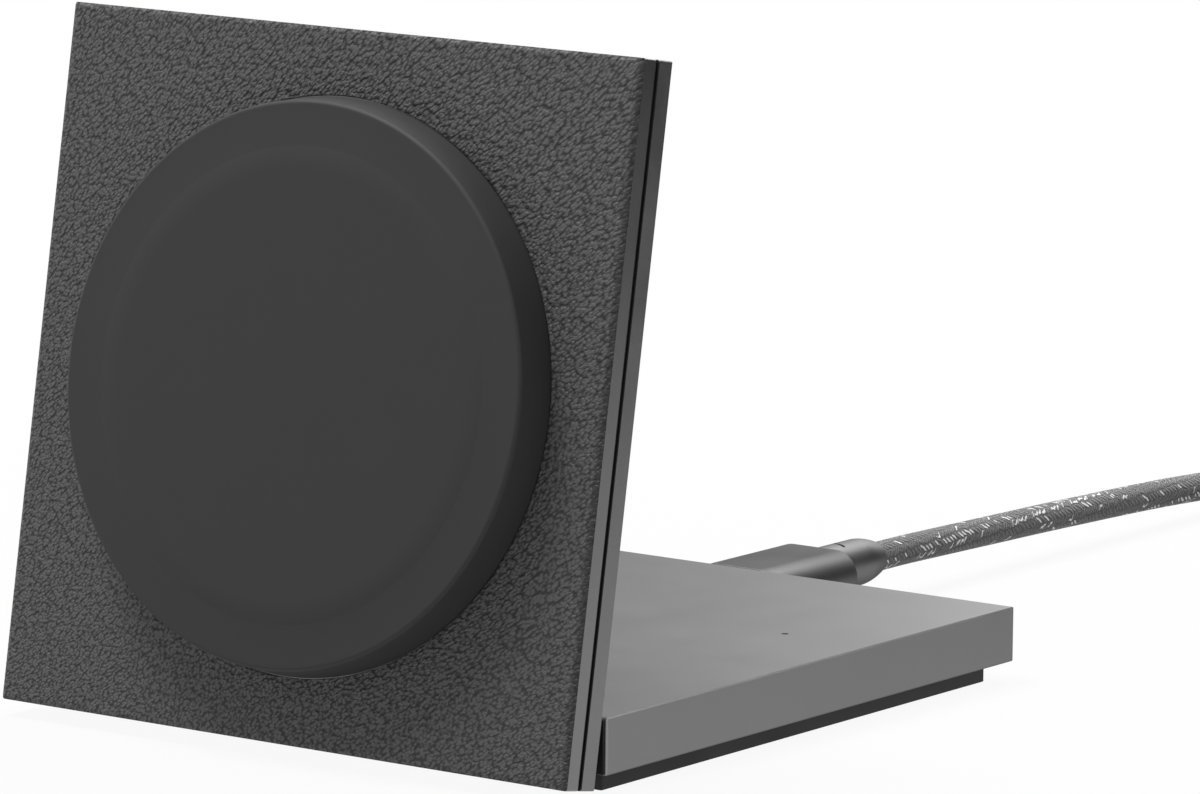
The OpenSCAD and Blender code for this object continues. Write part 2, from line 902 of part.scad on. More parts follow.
module wire_barrel() {
  wire_slot = wire_d / 2 + thin_gap;
  color("#161616")
    panel_place()
      difference() {
        leaf_body(0, wire_barrel_w, wire_barrel_d, wire_bore_d, wire_barrel_w);
        block([-wire_slot, -wire_slot, 0], [wire_slot, wire_slot, front_w]);
        block([-wire_slot, 0, pocket_w - wire_gap], [wire_slot, leaf_high + cut, front_w]);
      }
}

module panel_wires() {
  run_w = pocket_w + wire_d / 2 + wire_gap;
  end_v = panel_mid - board_h / 2 + 1;
  color("#202022")
    panel_place() {
      rod_x(wire_d, 0, wire_barrel_w / 2);
      sphere(d = wire_d);
      rod(wire_d, run_w);
      translate([0, 0, run_w]) {
        sphere(d = wire_d);
        rotate([-90, 0, 0])
          rod(wire_d, end_v);
      }
      translate([0, end_v, run_w]) {
        sphere(d = wire_d);
        rod(wire_d, board_low_w - run_w);
      }
    }
}

// Puck, on the panel's centre
module puck_outline() {
  r0 = puck_d / 2;
  r1 = r0 - puck_taper;
  rc = crease_d / 2;
  top = puck_rise + leather_t;
  low_top = top - pillow_rise;
  arc_steps = 6;
  fillet = [
    for (i = [0 : arc_steps])
      [
        r1 - puck_round + puck_round * cos(90 * i / arc_steps),
        low_top - puck_round + puck_round * sin(90 * i / arc_steps)
      ]
  ];
  slope = [
    for (i = [0 : arc_steps])
      [
        rc - pillow_slope * i / arc_steps,
        top - pillow_rise * pow(1 - i / arc_steps, 2)
      ]
  ];
  polygon(concat([[0, 0], [r0, 0], [r0, leather_t]], fillet, slope, [[0, top]]));
}

module puck_cover() {
  color("#39393a")
    panel_place()
      panel_centre(skin_w)
        difference() {
          rotate_extrude($fn = 180)
            puck_outline();
          translate([0, 0, -cut])
            rod(cover_bore_d, cut + puck_inside - pillow_rise - skin_w);
          rod(crease_d - 2 * pillow_slope, puck_inside - skin_w);
        }
}

// A turned tray with a raised middle, whose posts carry the charging board
module puck_tray() {
  flange_d = cover_bore_d - 2 * tray_gap;
  color("#2c2c2e")
    panel_place()
      panel_centre(0)
        difference() {
          union() {
            translate([0, 0, skin_w])
              rod(flange_d, tray_t);
            translate([0, 0, skin_w])
              rod(tray_step_d, ferrite_w - skin_w);
          }
          difference() {
            translate([0, 0, skin_w - cut])
              rod(tray_step_d - 2 * tray_wall, cut + ferrite_w - tray_wall - skin_w);
            at_corners(board_screw_u, board_screw_v)
              translate([0, 0, board_top_w])
                rod(boss_d, ferrite_w - board_top_w);
          }
          at_corners(board_screw_u, board_screw_v)
            translate([0, 0, board_top_w - cut])
              rod(screw_d + 2 * thread_clear, cut + board_post);
          for (a = [45 : 90 : 315])
            rotate([0, 0, a])
              translate([tray_screw_r, 0, skin_w - cut])
                rod(screw_d + 2 * thread_clear, cut + tray_t - 2 * thin_gap);
        }
}

module tray_screws() {
  color("#9a9a9a")
    panel_place()
      panel_centre(0)
        for (a = [45 : 90 : 315])
          rotate([0, 0, a])
            translate([tray_screw_r, 0, front_w + head_t + floor_gap])
              mirror([0, 0, 1])
                screw(front_t - head_t - floor_gap + tray_t - 3 * thin_gap);
}

module shield_ring() {
  color("#8b8d90")
    panel_place()
      panel_centre(shield_w)
        ring(magnet_out_d + 2 * shield_lip, magnet_in_d - 2 * shield_lip, shield_t);
}

module magnet_ring() {
  color("#b4b6b8")
    panel_place()
      panel_centre(magnet_low_w)
        difference() {
          ring(magnet_out_d, magnet_in_d, magnet_t);
          for (i = [0 : magnet_count - 1])
            rotate([0, 0, 360 * i / magnet_count])
              translate([magnet_in_d / 2 - cut, -magnet_slot / 2, -cut])
                cube([magnet_w + 2 * cut, magnet_slot, magnet_t + 2 * cut]);
        }
}

module ferrite_disc() {
  color("#3a3533")
    panel_place()
      panel_centre(ferrite_w)
        rod(ferrite_d, ferrite_t);
}

module charging_coil() {
  color("#b06a3a")
    panel_place()
      panel_centre(coil_w)
        ring(coil_d, coil_hole_d, coil_t);
}

module temperature_sensor() {
  color("#c9b27a")
    panel_place()
      panel_centre(coil_w)
        block([-sensor_w / 2, -sensor_d / 2, 0], [sensor_w / 2, sensor_d / 2, sensor_t]);
}

module charging_board() {
  color("#1f5a3c")
    panel_place()
      panel_centre(board_low_w)
        difference() {
          linear_extrude(board_t)
            rounded_rect(board_w, board_h, 1);
          at_corners(board_screw_u, board_screw_v)
            translate([0, 0, -cut])
              rod(screw_d + 2 * floor_gap, board_t + 2 * cut);
        }
}

module charging_board_parts() {
  reach = chip_w / 2 + chip_gap;
  color("#2a2a2c")
    panel_place()
      panel_centre(board_low_w) {
        chip(-chip_w / 2, -chip_w / 2, 0, chip_w, chip_w, parts_t);
        chip(reach, -chip_w / 2, 0, small_chip_w, small_chip_w, parts_t);
        chip(-reach - small_chip_w, -chip_w / 2, 0, small_chip_w, small_chip_w, parts_t);
        for (i = [0 : capacitor_count - 1])
          chip(-chip_w + i * capacitor_step, chip_w, 0, capacitor_w, capacitor_d, parts_t);
      }
}

module charging_board_screws() {
  color("#9a9a9a")
    panel_place()
      panel_centre(board_low_w)
        at_corners(board_screw_u, board_screw_v)
          mirror([0, 0, 1])
            screw(board_t + board_post - thin_gap);
}

module thermal_pad() {
  color("#8f97a3")
    panel_place()
      panel_centre(pocket_w)
        translate([-chip_w, -chip_w, 0])
          cube([2 * chip_w, 2 * chip_w, parts_low_w - pocket_w]);
}

// Plug on the lead, drawn with its mouth at the origin, pointing to -Y
module plug_tube() {
  rotate([90, 0, 0])
    linear_extrude(plug_l)
      difference() {
        stadium(plug_w, plug_h);
        stadium(plug_w - 2 * shell_wall, plug_h - 2 * shell_wall);
      }
}

module plug_grip() {
  rotate([-90, 0, 0])
    linear_extrude(grip_l)
      stadium(grip_w, grip_h);
}

module collar_shape() {
  difference() {
    rotate([-90, 0, 0])
      rotate_extrude()
        polygon([
          [0, 0], [collar_d / 2, 0], [collar_d / 2, collar_l - collar_taper],
          [collar_d / 2 - collar_waist, collar_l - collar_taper / 2],
          [collar_end_d / 2, collar_l], [0, collar_l]
        ]);
    translate([-collar_slot_w / 2, collar_slot_y, collar_d / 2 - collar_slot_depth])
      cube([collar_slot_w, collar_slot_l, cut]);
  }
}

module plug_shell() {
  color("#b9babc")
    translate([0, plug_front, socket_z])
      plug_tube();
}

module plug_body() {
  color("#6a6b6d")
    translate([0, plug_front, socket_z])
      plug_grip();
}

module plug_collar() {
  color("#707173")
    translate([0, collar_start, socket_z])
      collar_shape();
}

// Sweeps an eight-sided tube along a list of points
function unit(v) = v / norm(v);
function heading(path, i) =
  unit(path[min(i + 1, len(path) - 1)] - path[max(i - 1, 0)]);
function side_of(t) = unit(cross([0, 0, 1], t));
function ring_points(path, i, r, sides) =
  let (t = heading(path, i), a = side_of(t), b = cross(t, a))
    [for (k = [0 : sides - 1]) path[i] + r * (cos(360 * k / sides) * a + sin(360 * k / sides) * b)];

module tube(path, d) {
  sides = 8;
  n = len(path);
  points = [for (i = [0 : n - 1]) each ring_points(path, i, d / 2, sides)];
  walls = [
    for (i = [0 : n - 2], k = [0 : sides - 1])
      [
        i * sides + k, i * sides + (k + 1) % sides,
        (i + 1) * sides + (k + 1) % sides, (i + 1) * sides + k
      ]
  ];
  start = [for (k = [0 : sides - 1]) sides - 1 - k];
  finish = [for (k = [0 : sides - 1]) (n - 1) * sides + k];
  polyhedron(points, concat([start, finish], walls));
}

module lead() {
  color("#4a4a4c")
    tube(lead_route, lead_d);
}

module lead_tail() {
  color("#4a4a4c")
    tube(tail_route, lead_d);
}

module lead_coil() {
  color("#4a4a4c")
    translate([coil_x, coil_y, coil_low])
      rotate_extrude()
        translate([coil_in_r - lead_d / 2, 0])
          square([coil_span + lead_d, coil_h]);
}

// A closed loop round the coil, flat where it crosses the coil's round inside
module coil_strap() {
  strap_in = sqrt(pow(coil_in_r - lead_d / 2, 2) - pow(strap_w / 2, 2));
  outer = coil_out_r + lead_d / 2;
  color("#202020")
    translate([coil_x, coil_y, 0])
      difference() {
        block([-strap_w / 2, strap_in - strap_t, 0], [strap_w / 2, outer + strap_t, coil_h + 2 * strap_t]);
        block([-strap_w / 2 - cut, strap_in, strap_t], [strap_w / 2 + cut, outer, coil_h + strap_t]);
      }
}

module far_plug() {
  translate([tail_x, far_collar_y, far_z])
    rotate([0, 0, 180])
      children();
}

module far_plug_collar() {
  color("#707173")
    far_plug()
      translate([0, collar_l, 0])
        mirror([0, 1, 0])
          collar_shape();
}

module far_plug_body() {
  color("#6a6b6d")
    translate([tail_x, far_shell_y, far_z])
      plug_grip();
}

module far_plug_shell() {
  color("#b9babc")
    translate([tail_x, far_shell_y, far_z])
      plug_tube();
}

base_shell();
front_cap();
base_floor();
foot_pad();
floor_screws();
ballast_plate();
base_board();
base_board_parts();
base_board_screws();
usb_socket_shell();
usb_socket_tongue();
status_light_pipe();
status_led();
hinge_bracket_left();
hinge_bracket_right();
hinge_pin_left();
hinge_pin_right();
friction_washers();
bracket_screws();
base_wires();
rear_plate();
seam_frame();
front_plate();
leather_face();
panel_screws();
hinge_leaf_left();
hinge_leaf_right();
leaf_screws();
wire_barrel();
panel_wires();
puck_cover();
puck_tray();
tray_screws();
shield_ring();
magnet_ring();
ferrite_disc();
charging_coil();
temperature_sensor();
charging_board();
charging_board_parts();
charging_board_screws();
thermal_pad();
plug_shell();
plug_body();
plug_collar();
lead();
lead_coil();
coil_strap();
lead_tail();
far_plug_collar();
far_plug_body();
far_plug_shell();
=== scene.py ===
import json
import math

import bmesh
import bpy
import numpy as np
from mathutils import Matrix, Vector


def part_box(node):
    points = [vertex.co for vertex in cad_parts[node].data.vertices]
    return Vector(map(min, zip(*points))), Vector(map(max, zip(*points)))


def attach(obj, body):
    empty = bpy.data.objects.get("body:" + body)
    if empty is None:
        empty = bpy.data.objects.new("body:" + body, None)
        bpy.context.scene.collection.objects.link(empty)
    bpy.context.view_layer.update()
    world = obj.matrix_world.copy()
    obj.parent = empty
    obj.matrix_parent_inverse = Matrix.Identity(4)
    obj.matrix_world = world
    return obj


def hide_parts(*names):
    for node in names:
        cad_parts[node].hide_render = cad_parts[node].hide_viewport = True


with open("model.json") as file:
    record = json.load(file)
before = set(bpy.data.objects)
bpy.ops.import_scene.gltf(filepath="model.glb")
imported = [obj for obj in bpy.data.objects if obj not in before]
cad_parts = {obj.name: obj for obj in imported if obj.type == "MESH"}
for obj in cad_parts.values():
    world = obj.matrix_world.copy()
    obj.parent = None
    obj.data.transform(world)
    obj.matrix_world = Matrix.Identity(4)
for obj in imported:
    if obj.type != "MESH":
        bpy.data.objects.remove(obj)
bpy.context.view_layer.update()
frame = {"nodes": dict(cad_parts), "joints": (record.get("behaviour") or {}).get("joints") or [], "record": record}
print("frame loaded")

mm = 0.001

# the panel leans, so its pieces are worked out in its own frame:
# x across, y up the panel from the hinge, z out of its face
pivot = np.array(frame["joints"][0]["pos_m"])
phoneFace = next(m for m in frame["record"]["mounts"] if m["name"] == "phone_face")
outward = np.array(phoneFace["axis"]) / np.linalg.norm(phoneFace["axis"])
across = np.array((1.0, 0.0, 0.0))
upward = np.cross(outward, across)


def fromPanel(points):
    return pivot + points @ np.stack([across, upward, outward])


def panelBox(node):
    mesh = frame["nodes"][node].data
    places = np.empty(len(mesh.vertices) * 3)
    mesh.vertices.foreach_get("co", places)
    local = (places.reshape(-1, 3) - pivot) @ np.stack([across, upward, outward]).T
    return local.min(axis=0), local.max(axis=0)


def boxOf(node):
    # low and high corner, their middle and half the size
    low, high = (np.array(corner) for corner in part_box(node))
    return low, high, (low + high) / 2, (high - low) / 2


def addObject(name, data):
    thing = bpy.data.objects.new(name, data)
    bpy.context.scene.collection.objects.link(thing)
    return thing


# camera: the photograph's own viewpoint, a long lens from the front right
camera = {
    "place": (0.518913, -0.702155, 0.180399),  # metres
    "lens": 242.24,
    "sensor": 36.0,
    "yaw": 36.001,  # degrees left of straight back
    "pitch": 9.574,  # degrees down
    "roll": -0.509,
}


def addCamera():
    yaw, pitch, roll = (math.radians(camera[key]) for key in ("yaw", "pitch", "roll"))
    forward = Vector((
        -math.sin(yaw) * math.cos(pitch), math.cos(yaw) * math.cos(pitch), -math.sin(pitch)))
    right = Vector((math.cos(yaw), math.sin(yaw), 0))
    down = forward.cross(right)
    tiltedRight = right * math.cos(roll) + down * math.sin(roll)
    tiltedDown = down * math.cos(roll) - right * math.sin(roll)
    turn = Matrix((tiltedRight, -tiltedDown, -forward)).transposed().to_4x4()
    lensData = bpy.data.cameras.new("photoCamera")
    lensData.lens = camera["lens"]
    lensData.sensor_width = camera["sensor"]
    lensData.sensor_fit = "HORIZONTAL"
    lensData.clip_start = 0.01
    lensData.clip_end = 50
    eye = addObject("photoCamera", lensData)
    eye.matrix_world = Matrix.Translation(camera["place"]) @ turn
    bpy.context.scene.camera = eye


addCamera()
print("camera set")


# meshes from grids of points
def gridPiece(name, points, body, wrapRows=False, capped=False, uv=None, sharp=40):
    # each cell of the grid of rows and columns becomes one four-cornered face;
    # rows run along the profile, columns run round it and close on themselves;
    # uv holds the two coordinates of each row and column, or of each point
    rows, columns = points.shape[:2]
    r, c = np.meshgrid(
        np.arange(rows if wrapRows else rows - 1), np.arange(columns), indexing="ij")
    r, c = r.ravel(), c.ravel()
    cornerRows = np.stack([r, r, r + 1, r + 1], axis=1)
    cornerColumns = np.stack([c, c + 1, c + 1, c], axis=1)
    faces = ((cornerRows % rows) * columns + cornerColumns % columns).tolist()
    if capped:
        faces += [list(range(columns)), [(rows - 1) * columns + k for k in range(columns)]]
    mesh = bpy.data.meshes.new(name)
    mesh.from_pydata(points.reshape(-1, 3).tolist(), [], faces)
    if uv is not None:
        layer = mesh.uv_layers.new(name="UVMap")
        if uv[0].ndim == 1:
            flat = np.stack([uv[0][cornerRows], uv[1][cornerColumns]], axis=-1).reshape(-1)
        else:
            place = (cornerRows % rows, cornerColumns % columns)
            flat = np.stack([uv[0][place], uv[1][place]], axis=-1).reshape(-1)
        whole = np.zeros(len(mesh.loops) * 2)
        whole[:len(flat)] = flat
        layer.data.foreach_set("uv", whole)
    shape = bmesh.new()
    shape.from_mesh(mesh)
    bmesh.ops.remove_doubles(shape, verts=shape.verts, dist=1e-7)
    bmesh.ops.recalc_face_normals(shape, faces=shape.faces)
    shape.to_mesh(mesh)
    shape.free()
    mesh.shade_smooth()
    mesh.set_sharp_from_angle(angle=math.radians(sharp))
    piece = addObject(name, mesh)
    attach(piece, body)
    return piece


def roundedOutline(halfWidth, halfHeight, radius, steps=10):
    # four quarter circles, one at each corner, joined by the straight sides between them
    radius = max(radius, 1e-5)
    angle = np.linspace(0, math.pi / 2, steps)
    quarters = [(1, 1, 0), (-1, 1, 1), (-1, -1, 2), (1, -1, 3)]
    return np.concatenate([
        np.stack([
            sx * (halfWidth - radius) + radius * np.cos(angle + turn * math.pi / 2),
            sy * (halfHeight - radius) + radius * np.sin(angle + turn * math.pi / 2)], axis=1)
        for sx, sy, turn in quarters])


def roundedPrism(halfWidth, halfHeight, radius, length, edges, steps=10):
    # the outline carried along its length, drawn in by a quarter circle at each end
    angle = np.linspace(0, math.pi / 2, 6)
    near = [(edges[0] * (1 - math.sin(a)), edges[0] * (1 - math.cos(a))) for a in angle]
    far = [(edges[1] * (1 - math.sin(a)), length - edges[1] * (1 - math.cos(a))) for a in angle[::-1]]
    return np.stack([
        np.column_stack([
            roundedOutline(halfWidth - inset, halfHeight - inset, radius - inset, steps),
            np.full(4 * steps, along)])
        for inset, along in near + far])


def curveThrough(points, marks):
    # a smooth line through the points: between two of them a cubic whose slope at each
    # end is that of the line through the neighbours; marks are distances along the chords
    points = np.array(points, float)
    chord = np.concatenate([[0], np.cumsum(np.linalg.norm(np.diff(points, axis=0), axis=1))])
    slope = np.gradient(points, chord, axis=0)
    at = np.clip(np.searchsorted(chord, marks, side="right") - 1, 0, len(chord) - 2)
    span = (chord[at + 1] - chord[at])[:, None]
    t = (marks[:, None] - chord[at][:, None]) / span
    return (
        (2 * t**3 - 3 * t**2 + 1) * points[at] + (t**3 - 2 * t**2 + t) * span * slope[at]
        + (3 * t**2 - 2 * t**3) * points[at + 1] + (t**3 - t**2) * span * slope[at + 1])


# the lead: from the collar over the table, into a stored coil of two layers, to its far plug
lead = {
    "diameter": 3.45 * mm,
    "sides": 28,
    "shownStep": 0.35 * mm,  # ring spacing where the photograph shows it
    "coilStep": 0.85 * mm,
    "shownEnd": 80 * mm,
    "route": [
        (0, 66.6, 5.325), (0, 72, 5.325), (0, 80, 5.2), (0, 88, 5.05), (0, 96, 4.9),
        (0, 104, 4.75), (0, 112, 4.55), (0, 120, 4.35), (0, 128, 4.1), (0, 137, 3.7), (0, 146, 3.2)],
    "coilCentre": (27.4375, 160),
    "coilOuter": 27.4375,
    "coilInner": 12.5625,
    "turns": 4.25,
    "stepsPerTurn": 24,
    "layers": (2.325, 5.825),  # heights of the two layers' middles
    "climb": 0.24,  # turns that the climb from one layer to the other takes
    "tail": [
        (54.875, 146, 5.4), (54.875, 142, 4.7), (54.875, 138, 3.9), (54.875, 134, 3.3),
        (54.875, 131, 3.05), (54.875, 128, 3.05)],
}


def leadPoints():
    # in one layer the radius falls evenly with the angle, and in the other it grows again
    steps = int(lead["turns"] * lead["stepsPerTurn"])
    share = np.arange(2 * steps + 1) / steps
    angle = math.pi - share * lead["turns"] * 2 * math.pi
    radius = lead["coilInner"] + (lead["coilOuter"] - lead["coilInner"]) * np.abs(1 - share)
    climb = np.clip((share - 1) * lead["turns"] / lead["climb"] + 0.5, 0, 1)
    height = lead["layers"][0] + (lead["layers"][1] - lead["layers"][0]) * climb**2 * (3 - 2 * climb)
    coil = np.column_stack([
        lead["coilCentre"][0] + radius * np.cos(angle),
        lead["coilCentre"][1] + radius * np.sin(angle), height])
    return np.concatenate([lead["route"], coil, lead["tail"]]) * mm


def makeLead():
    points = leadPoints()
    whole = np.linalg.norm(np.diff(points, axis=0), axis=1).sum()
    shown = np.arange(0, lead["shownEnd"], lead["shownStep"])
    stored = np.linspace(lead["shownEnd"], whole, int((whole - lead["shownEnd"]) / lead["coilStep"]))
    centre = curveThrough(points, np.concatenate([shown, stored]))
    heading = np.gradient(centre, axis=0)
    heading /= np.linalg.norm(heading, axis=1)[:, None]
    side = np.cross((0, 0, 1), heading)
    side /= np.linalg.norm(side, axis=1)[:, None]
    top = np.cross(heading, side)
    angle = np.arange(lead["sides"]) * 2 * math.pi / lead["sides"]
    radius = lead["diameter"] / 2
    # each ring is a circle square to the line's heading
    tube = (
        centre[:, None] + radius * np.cos(angle)[None, :, None] * side[:, None]
        + radius * np.sin(angle)[None, :, None] * top[:, None])
    along = np.concatenate([[0], np.cumsum(np.linalg.norm(np.diff(centre, axis=0), axis=1))])
    around = np.arange(lead["sides"] + 1) / lead["sides"]
    piece = gridPiece("knittedLead", tube, "base", capped=True, uv=(along / mm, around))
    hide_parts("lead", "lead_coil", "lead_tail")
    return piece, centre, along[-1]


knittedLead, leadCentre, leadLength = makeLead()
print("lead made, length in metres", round(leadLength, 4))

# the strap that ties the coil
strap = {"thickness": 0.6 * mm, "corner": 1.7 * mm}


def makeStrap():
    # a rounded loop round the coil's section, as wide as the strap and closed on itself
    middle, half = boxOf("coil_strap")[2:]
    outer = roundedOutline(half[1], half[2], strap["corner"] + strap["thickness"])
    inner = roundedOutline(
        half[1] - strap["thickness"], half[2] - strap["thickness"], strap["corner"])
    rows = [(outer, -half[0]), (outer, half[0]), (inner, half[0]), (inner, -half[0])]
    points = np.stack([
        np.column_stack([np.full(len(loop), x), loop]) for loop, x in rows]) + middle
    piece = gridPiece("coilStrap", points, "base", wrapRows=True)
    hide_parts("coil_strap")
    return piece


coilStrap = makeStrap()

# the plugs' bodies: a stadium section with softly broken ends
plugBody = {"nearEdge": 0.06 * mm, "farEdge": 0.22 * mm, "steps": 16}


def makePlugBody(name, node, farFirst):
    # the prism's outline stands across, and its length is laid along the lead
    low, high, middle, half = boxOf(node)
    edges = (plugBody["farEdge"], plugBody["nearEdge"])
    prism = roundedPrism(
        half[0], half[2], half[2], 2 * half[1], edges if farFirst else edges[::-1], plugBody["steps"])
    points = np.stack([
        prism[..., 0] + middle[0], prism[..., 2] + low[1], prism[..., 1] + middle[2]], axis=-1)
    piece = gridPiece(name, points, "base", capped=True)
    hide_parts(node)
    return piece


# the collars behind them: round, with a shallow slot on top and one smooth taper
collar = {
    "taper": 3.7 * mm,
    "taperPower": 1.6,
    "taperSteps": 12,
    "endRadius": 1.95 * mm,
    "slotPlace": 4.0 * mm,  # the slot's start, behind the plug's body
    "slotLength": 0.5 * mm,
    "slotDepth": 0.35 * mm,
    "slotWall": 0.002 * mm,  # the slant of the slot's end walls
    "slotHalfColumns": 6,  # to each side of the top, 2 mm across in all
    "columns": 102,
}


def makeCollar(name, node, mirrored):
    low, high, middle, half = boxOf(node)
    radius, length = half[2], 2 * half[1]
    start, end = collar["slotPlace"], collar["slotPlace"] + collar["slotLength"]
    straight = [0, start, start + collar["slotWall"], end - collar["slotWall"], end]
    # the taper narrows with a power of the way to its end
    way = np.linspace(0, 1, collar["taperSteps"])
    along = np.concatenate([straight, length - collar["taper"] * (1 - way)])
    radii = np.concatenate([
        np.full(len(straight), radius),
        radius - (radius - collar["endRadius"]) * way ** collar["taperPower"]])
    angle = np.arange(collar["columns"]) * 2 * math.pi / collar["columns"]
    rings = np.repeat(radii[:, None], collar["columns"], axis=1)
    # inside the slot the surface is flat, a little below the top
    top = np.minimum(np.arange(collar["columns"]), collar["columns"] - np.arange(collar["columns"]))
    inSlot = top <= collar["slotHalfColumns"]
    rings[2:4, inSlot] = (radius - collar["slotDepth"]) / np.cos(angle[inSlot])
    forward = high[1] - along if mirrored else low[1] + along
    points = np.stack([
        middle[0] + rings * np.sin(angle), np.repeat(forward[:, None], collar["columns"], axis=1),
        middle[2] + rings * np.cos(angle)], axis=-1)
    piece = gridPiece(name, points, "base", capped=True, sharp=30)
    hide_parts(node)
    return piece


nearBody = makePlugBody("plugBody", "plug_body", False)
farBody = makePlugBody("farPlugBody", "far_plug_body", True)
nearCollar = makeCollar("plugCollar", "plug_collar", False)
farCollar = makeCollar("farPlugCollar", "far_plug_collar", True)
print("strap and plugs made")

# foot pad
footPad = {"corner": 0.3 * mm, "bottomEdge": 0.12 * mm, "topEdge": 0.03 * mm}


def makeFootPad():
    # a rounded rectangle carried up through the pad's height
    low, high, middle, half = boxOf("foot_pad")
    edges = (footPad["bottomEdge"], footPad["topEdge"])
    prism = roundedPrism(half[0], half[1], footPad["corner"], high[2] - low[2], edges)
    piece = gridPiece("footPad", prism + (low + half) * (1, 1, 0), "base", capped=True)
    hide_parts("foot_pad")


makeFootPad()
print("foot pad made")

# seam: a black groove round the panel; its lip, a thin black skin over the small slope of the rear plate's edge,
# is a dark sheet laid where that edge lies in shade: painted shade
seam = {
    "groove": 0.3 * mm,  # how far the line lies in from the panel's sides
    "bevel": 0.075 * mm,  # the rear plate's edge, that the lip covers
    # the lip's skin is a dark sheet put on the shaded edge: painted shade
    "paintedShadeSkin": 0.01 * mm,  # the lip's thickness
    "width": 1.5 * mm,
    "corner": 0.25 * mm,
}


def makeSeamFrame():
    low, high = panelBox("rear_plate")
    half, centre = (high - low)[:2] / 2, (high + low)[:2] / 2
    rear, front = high[2], panelBox("front_plate")[0][2]
    # from the front plate back along the groove, out over the lip and its slope, and in under it
    profile = [
        (seam["groove"], front), (seam["groove"], rear + seam["paintedShadeSkin"]),
        (seam["bevel"], rear + seam["paintedShadeSkin"]), (0, rear - seam["bevel"] + seam["paintedShadeSkin"]),
        (0, rear - seam["bevel"]), (seam["bevel"], rear), (seam["width"], rear), (seam["width"], front)]
    rows = []
    for inset, height in profile:
        outline = roundedOutline(half[0] - inset, half[1] - inset, seam["corner"] - inset)
        rows.append(np.column_stack([outline + centre, np.full(len(outline), height)]))
    piece = gridPiece("seamFrame", fromPanel(np.stack(rows)), "panel", wrapRows=True, sharp=20)
    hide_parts("seam_frame")


makeSeamFrame()
print("seam made")

# leather: one sheet with a round window for the puck, rolled over at its outer edge
leather = {
    "columns": 1000,
    "rows": 62,
    "rollWidth": 0.44 * mm,
    "rollDepth": 0.21 * mm,
    "rollPower": 1.3,
    "rollSteps": 6,
    "corner": 0.28 * mm,
    "innerCorner": 0.1 * mm,
    "windowGap": 0.1 * mm,  # between the window and the puck
    "windowEdge": 0.06 * mm,
    "swell": 0.035 * mm,  # the hide's slow rise and fall
    "swellCell": 2.6 * mm,
    "seed": 5,
}


def softNoise(x, y, cell, seed):
    # random heights on a square lattice, blended between lattice points by a smooth step
    count = 96  # lattice points to a side, before the pattern repeats
    lattice = np.random.default_rng(seed).random((count, count))
    i, j = np.floor(x / cell).astype(int), np.floor(y / cell).astype(int)
    fx, fy = x / cell - i, y / cell - j
    fx, fy = fx**2 * (3 - 2 * fx), fy**2 * (3 - 2 * fy)
    i, j, nextI, nextJ = i % count, j % count, (i + 1) % count, (j + 1) % count
    low = lattice[i, j] * (1 - fx) + lattice[nextI, j] * fx
    high = lattice[i, nextJ] * (1 - fx) + lattice[nextI, nextJ] * fx
    return low * (1 - fy) + high * fy - 0.5


def evenOutline(half, radius, count):
    # points at equal steps along a rounded rectangle, from its right middle round to the left
    fine = roundedOutline(half[0], half[1], radius, 24)
    fine = np.roll(fine, 1, axis=0)
    loop = np.concatenate([fine, fine[:1]])
    run = np.concatenate([[0], np.cumsum(np.linalg.norm(np.diff(loop, axis=0), axis=1))])
    marks = np.arange(count) / count * run[-1]
    return np.column_stack([np.interp(marks, run, loop[:, k]) for k in (0, 1)])


def makeLeather():
    low, high = panelBox("leather_face")
    puckLow, puckHigh = panelBox("puck_cover")
    half = (high[:2] - low[:2]) / 2
    centre = (high[:2] + low[:2]) / 2
    thick = high[2] - low[2]
    top = thick - leather["swell"] / 2
    window = (puckHigh[0] - puckLow[0]) / 2 + leather["windowGap"]
    rim = evenOutline(half, leather["corner"], leather["columns"])
    inward = evenOutline(half - leather["rollWidth"], leather["innerCorner"], leather["columns"])
    bearing = np.arctan2(inward[:, 1], inward[:, 0])
    circle = np.column_stack([np.cos(bearing), np.sin(bearing)])
    rows = [
        np.column_stack([circle * window, np.full(len(circle), height)])
        for height in (0, thick - leather["windowEdge"])]
    inner = circle * (window + leather["windowEdge"])
    # the top runs straight from the window to where the roll-off starts
    for share in np.linspace(0, 1, leather["rows"]):
        flat = inner * (1 - share) + inward * share
        # moved by a metre, so that the lattice's numbers stay positive
        noise = softNoise(flat[:, 0] + 1, flat[:, 1] + 1, leather["swellCell"], leather["seed"])
        rows.append(np.column_stack([flat, top + leather["swell"] * noise]))
    # the roll-off drops with a power of the way out to the wall, slowly first
    drop = leather["rollDepth"] - leather["swell"] / 2
    for share in np.linspace(0, 1, leather["rollSteps"] + 1)[1:]:
        flat = inward + (rim - inward) * share
        height = top - drop * share ** leather["rollPower"]
        rows.append(np.column_stack([flat, np.full(len(flat), height)]))
    rows.append(np.column_stack([rim, np.zeros(len(rim))]))
    local = np.stack(rows)
    points = local + np.array([centre[0], centre[1], low[2]])
    flatPlace = (local[..., 0] / mm, local[..., 1] / mm)
    piece = gridPiece(
        "leatherFace", fromPanel(points), "panel", wrapRows=True, uv=flatPlace, sharp=50)
    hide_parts("leather_face")


makeLeather()
print("leather made")

# puck: a turned cover with a flat ring, a crease and a low pillow, hollow behind
puck = {
    "taper": 0.6 * mm,
    "edgeRound": 0.5 * mm,
    "creaseRadius": 25.4 * mm,
    "pillowRise": 0.25 * mm,
    "pillowSlope": 2.8 * mm,
    "wall": 1.0 * mm,
    "steps": 12,  # points along the pillow's slope and along the edge
    "sides": 256,
}


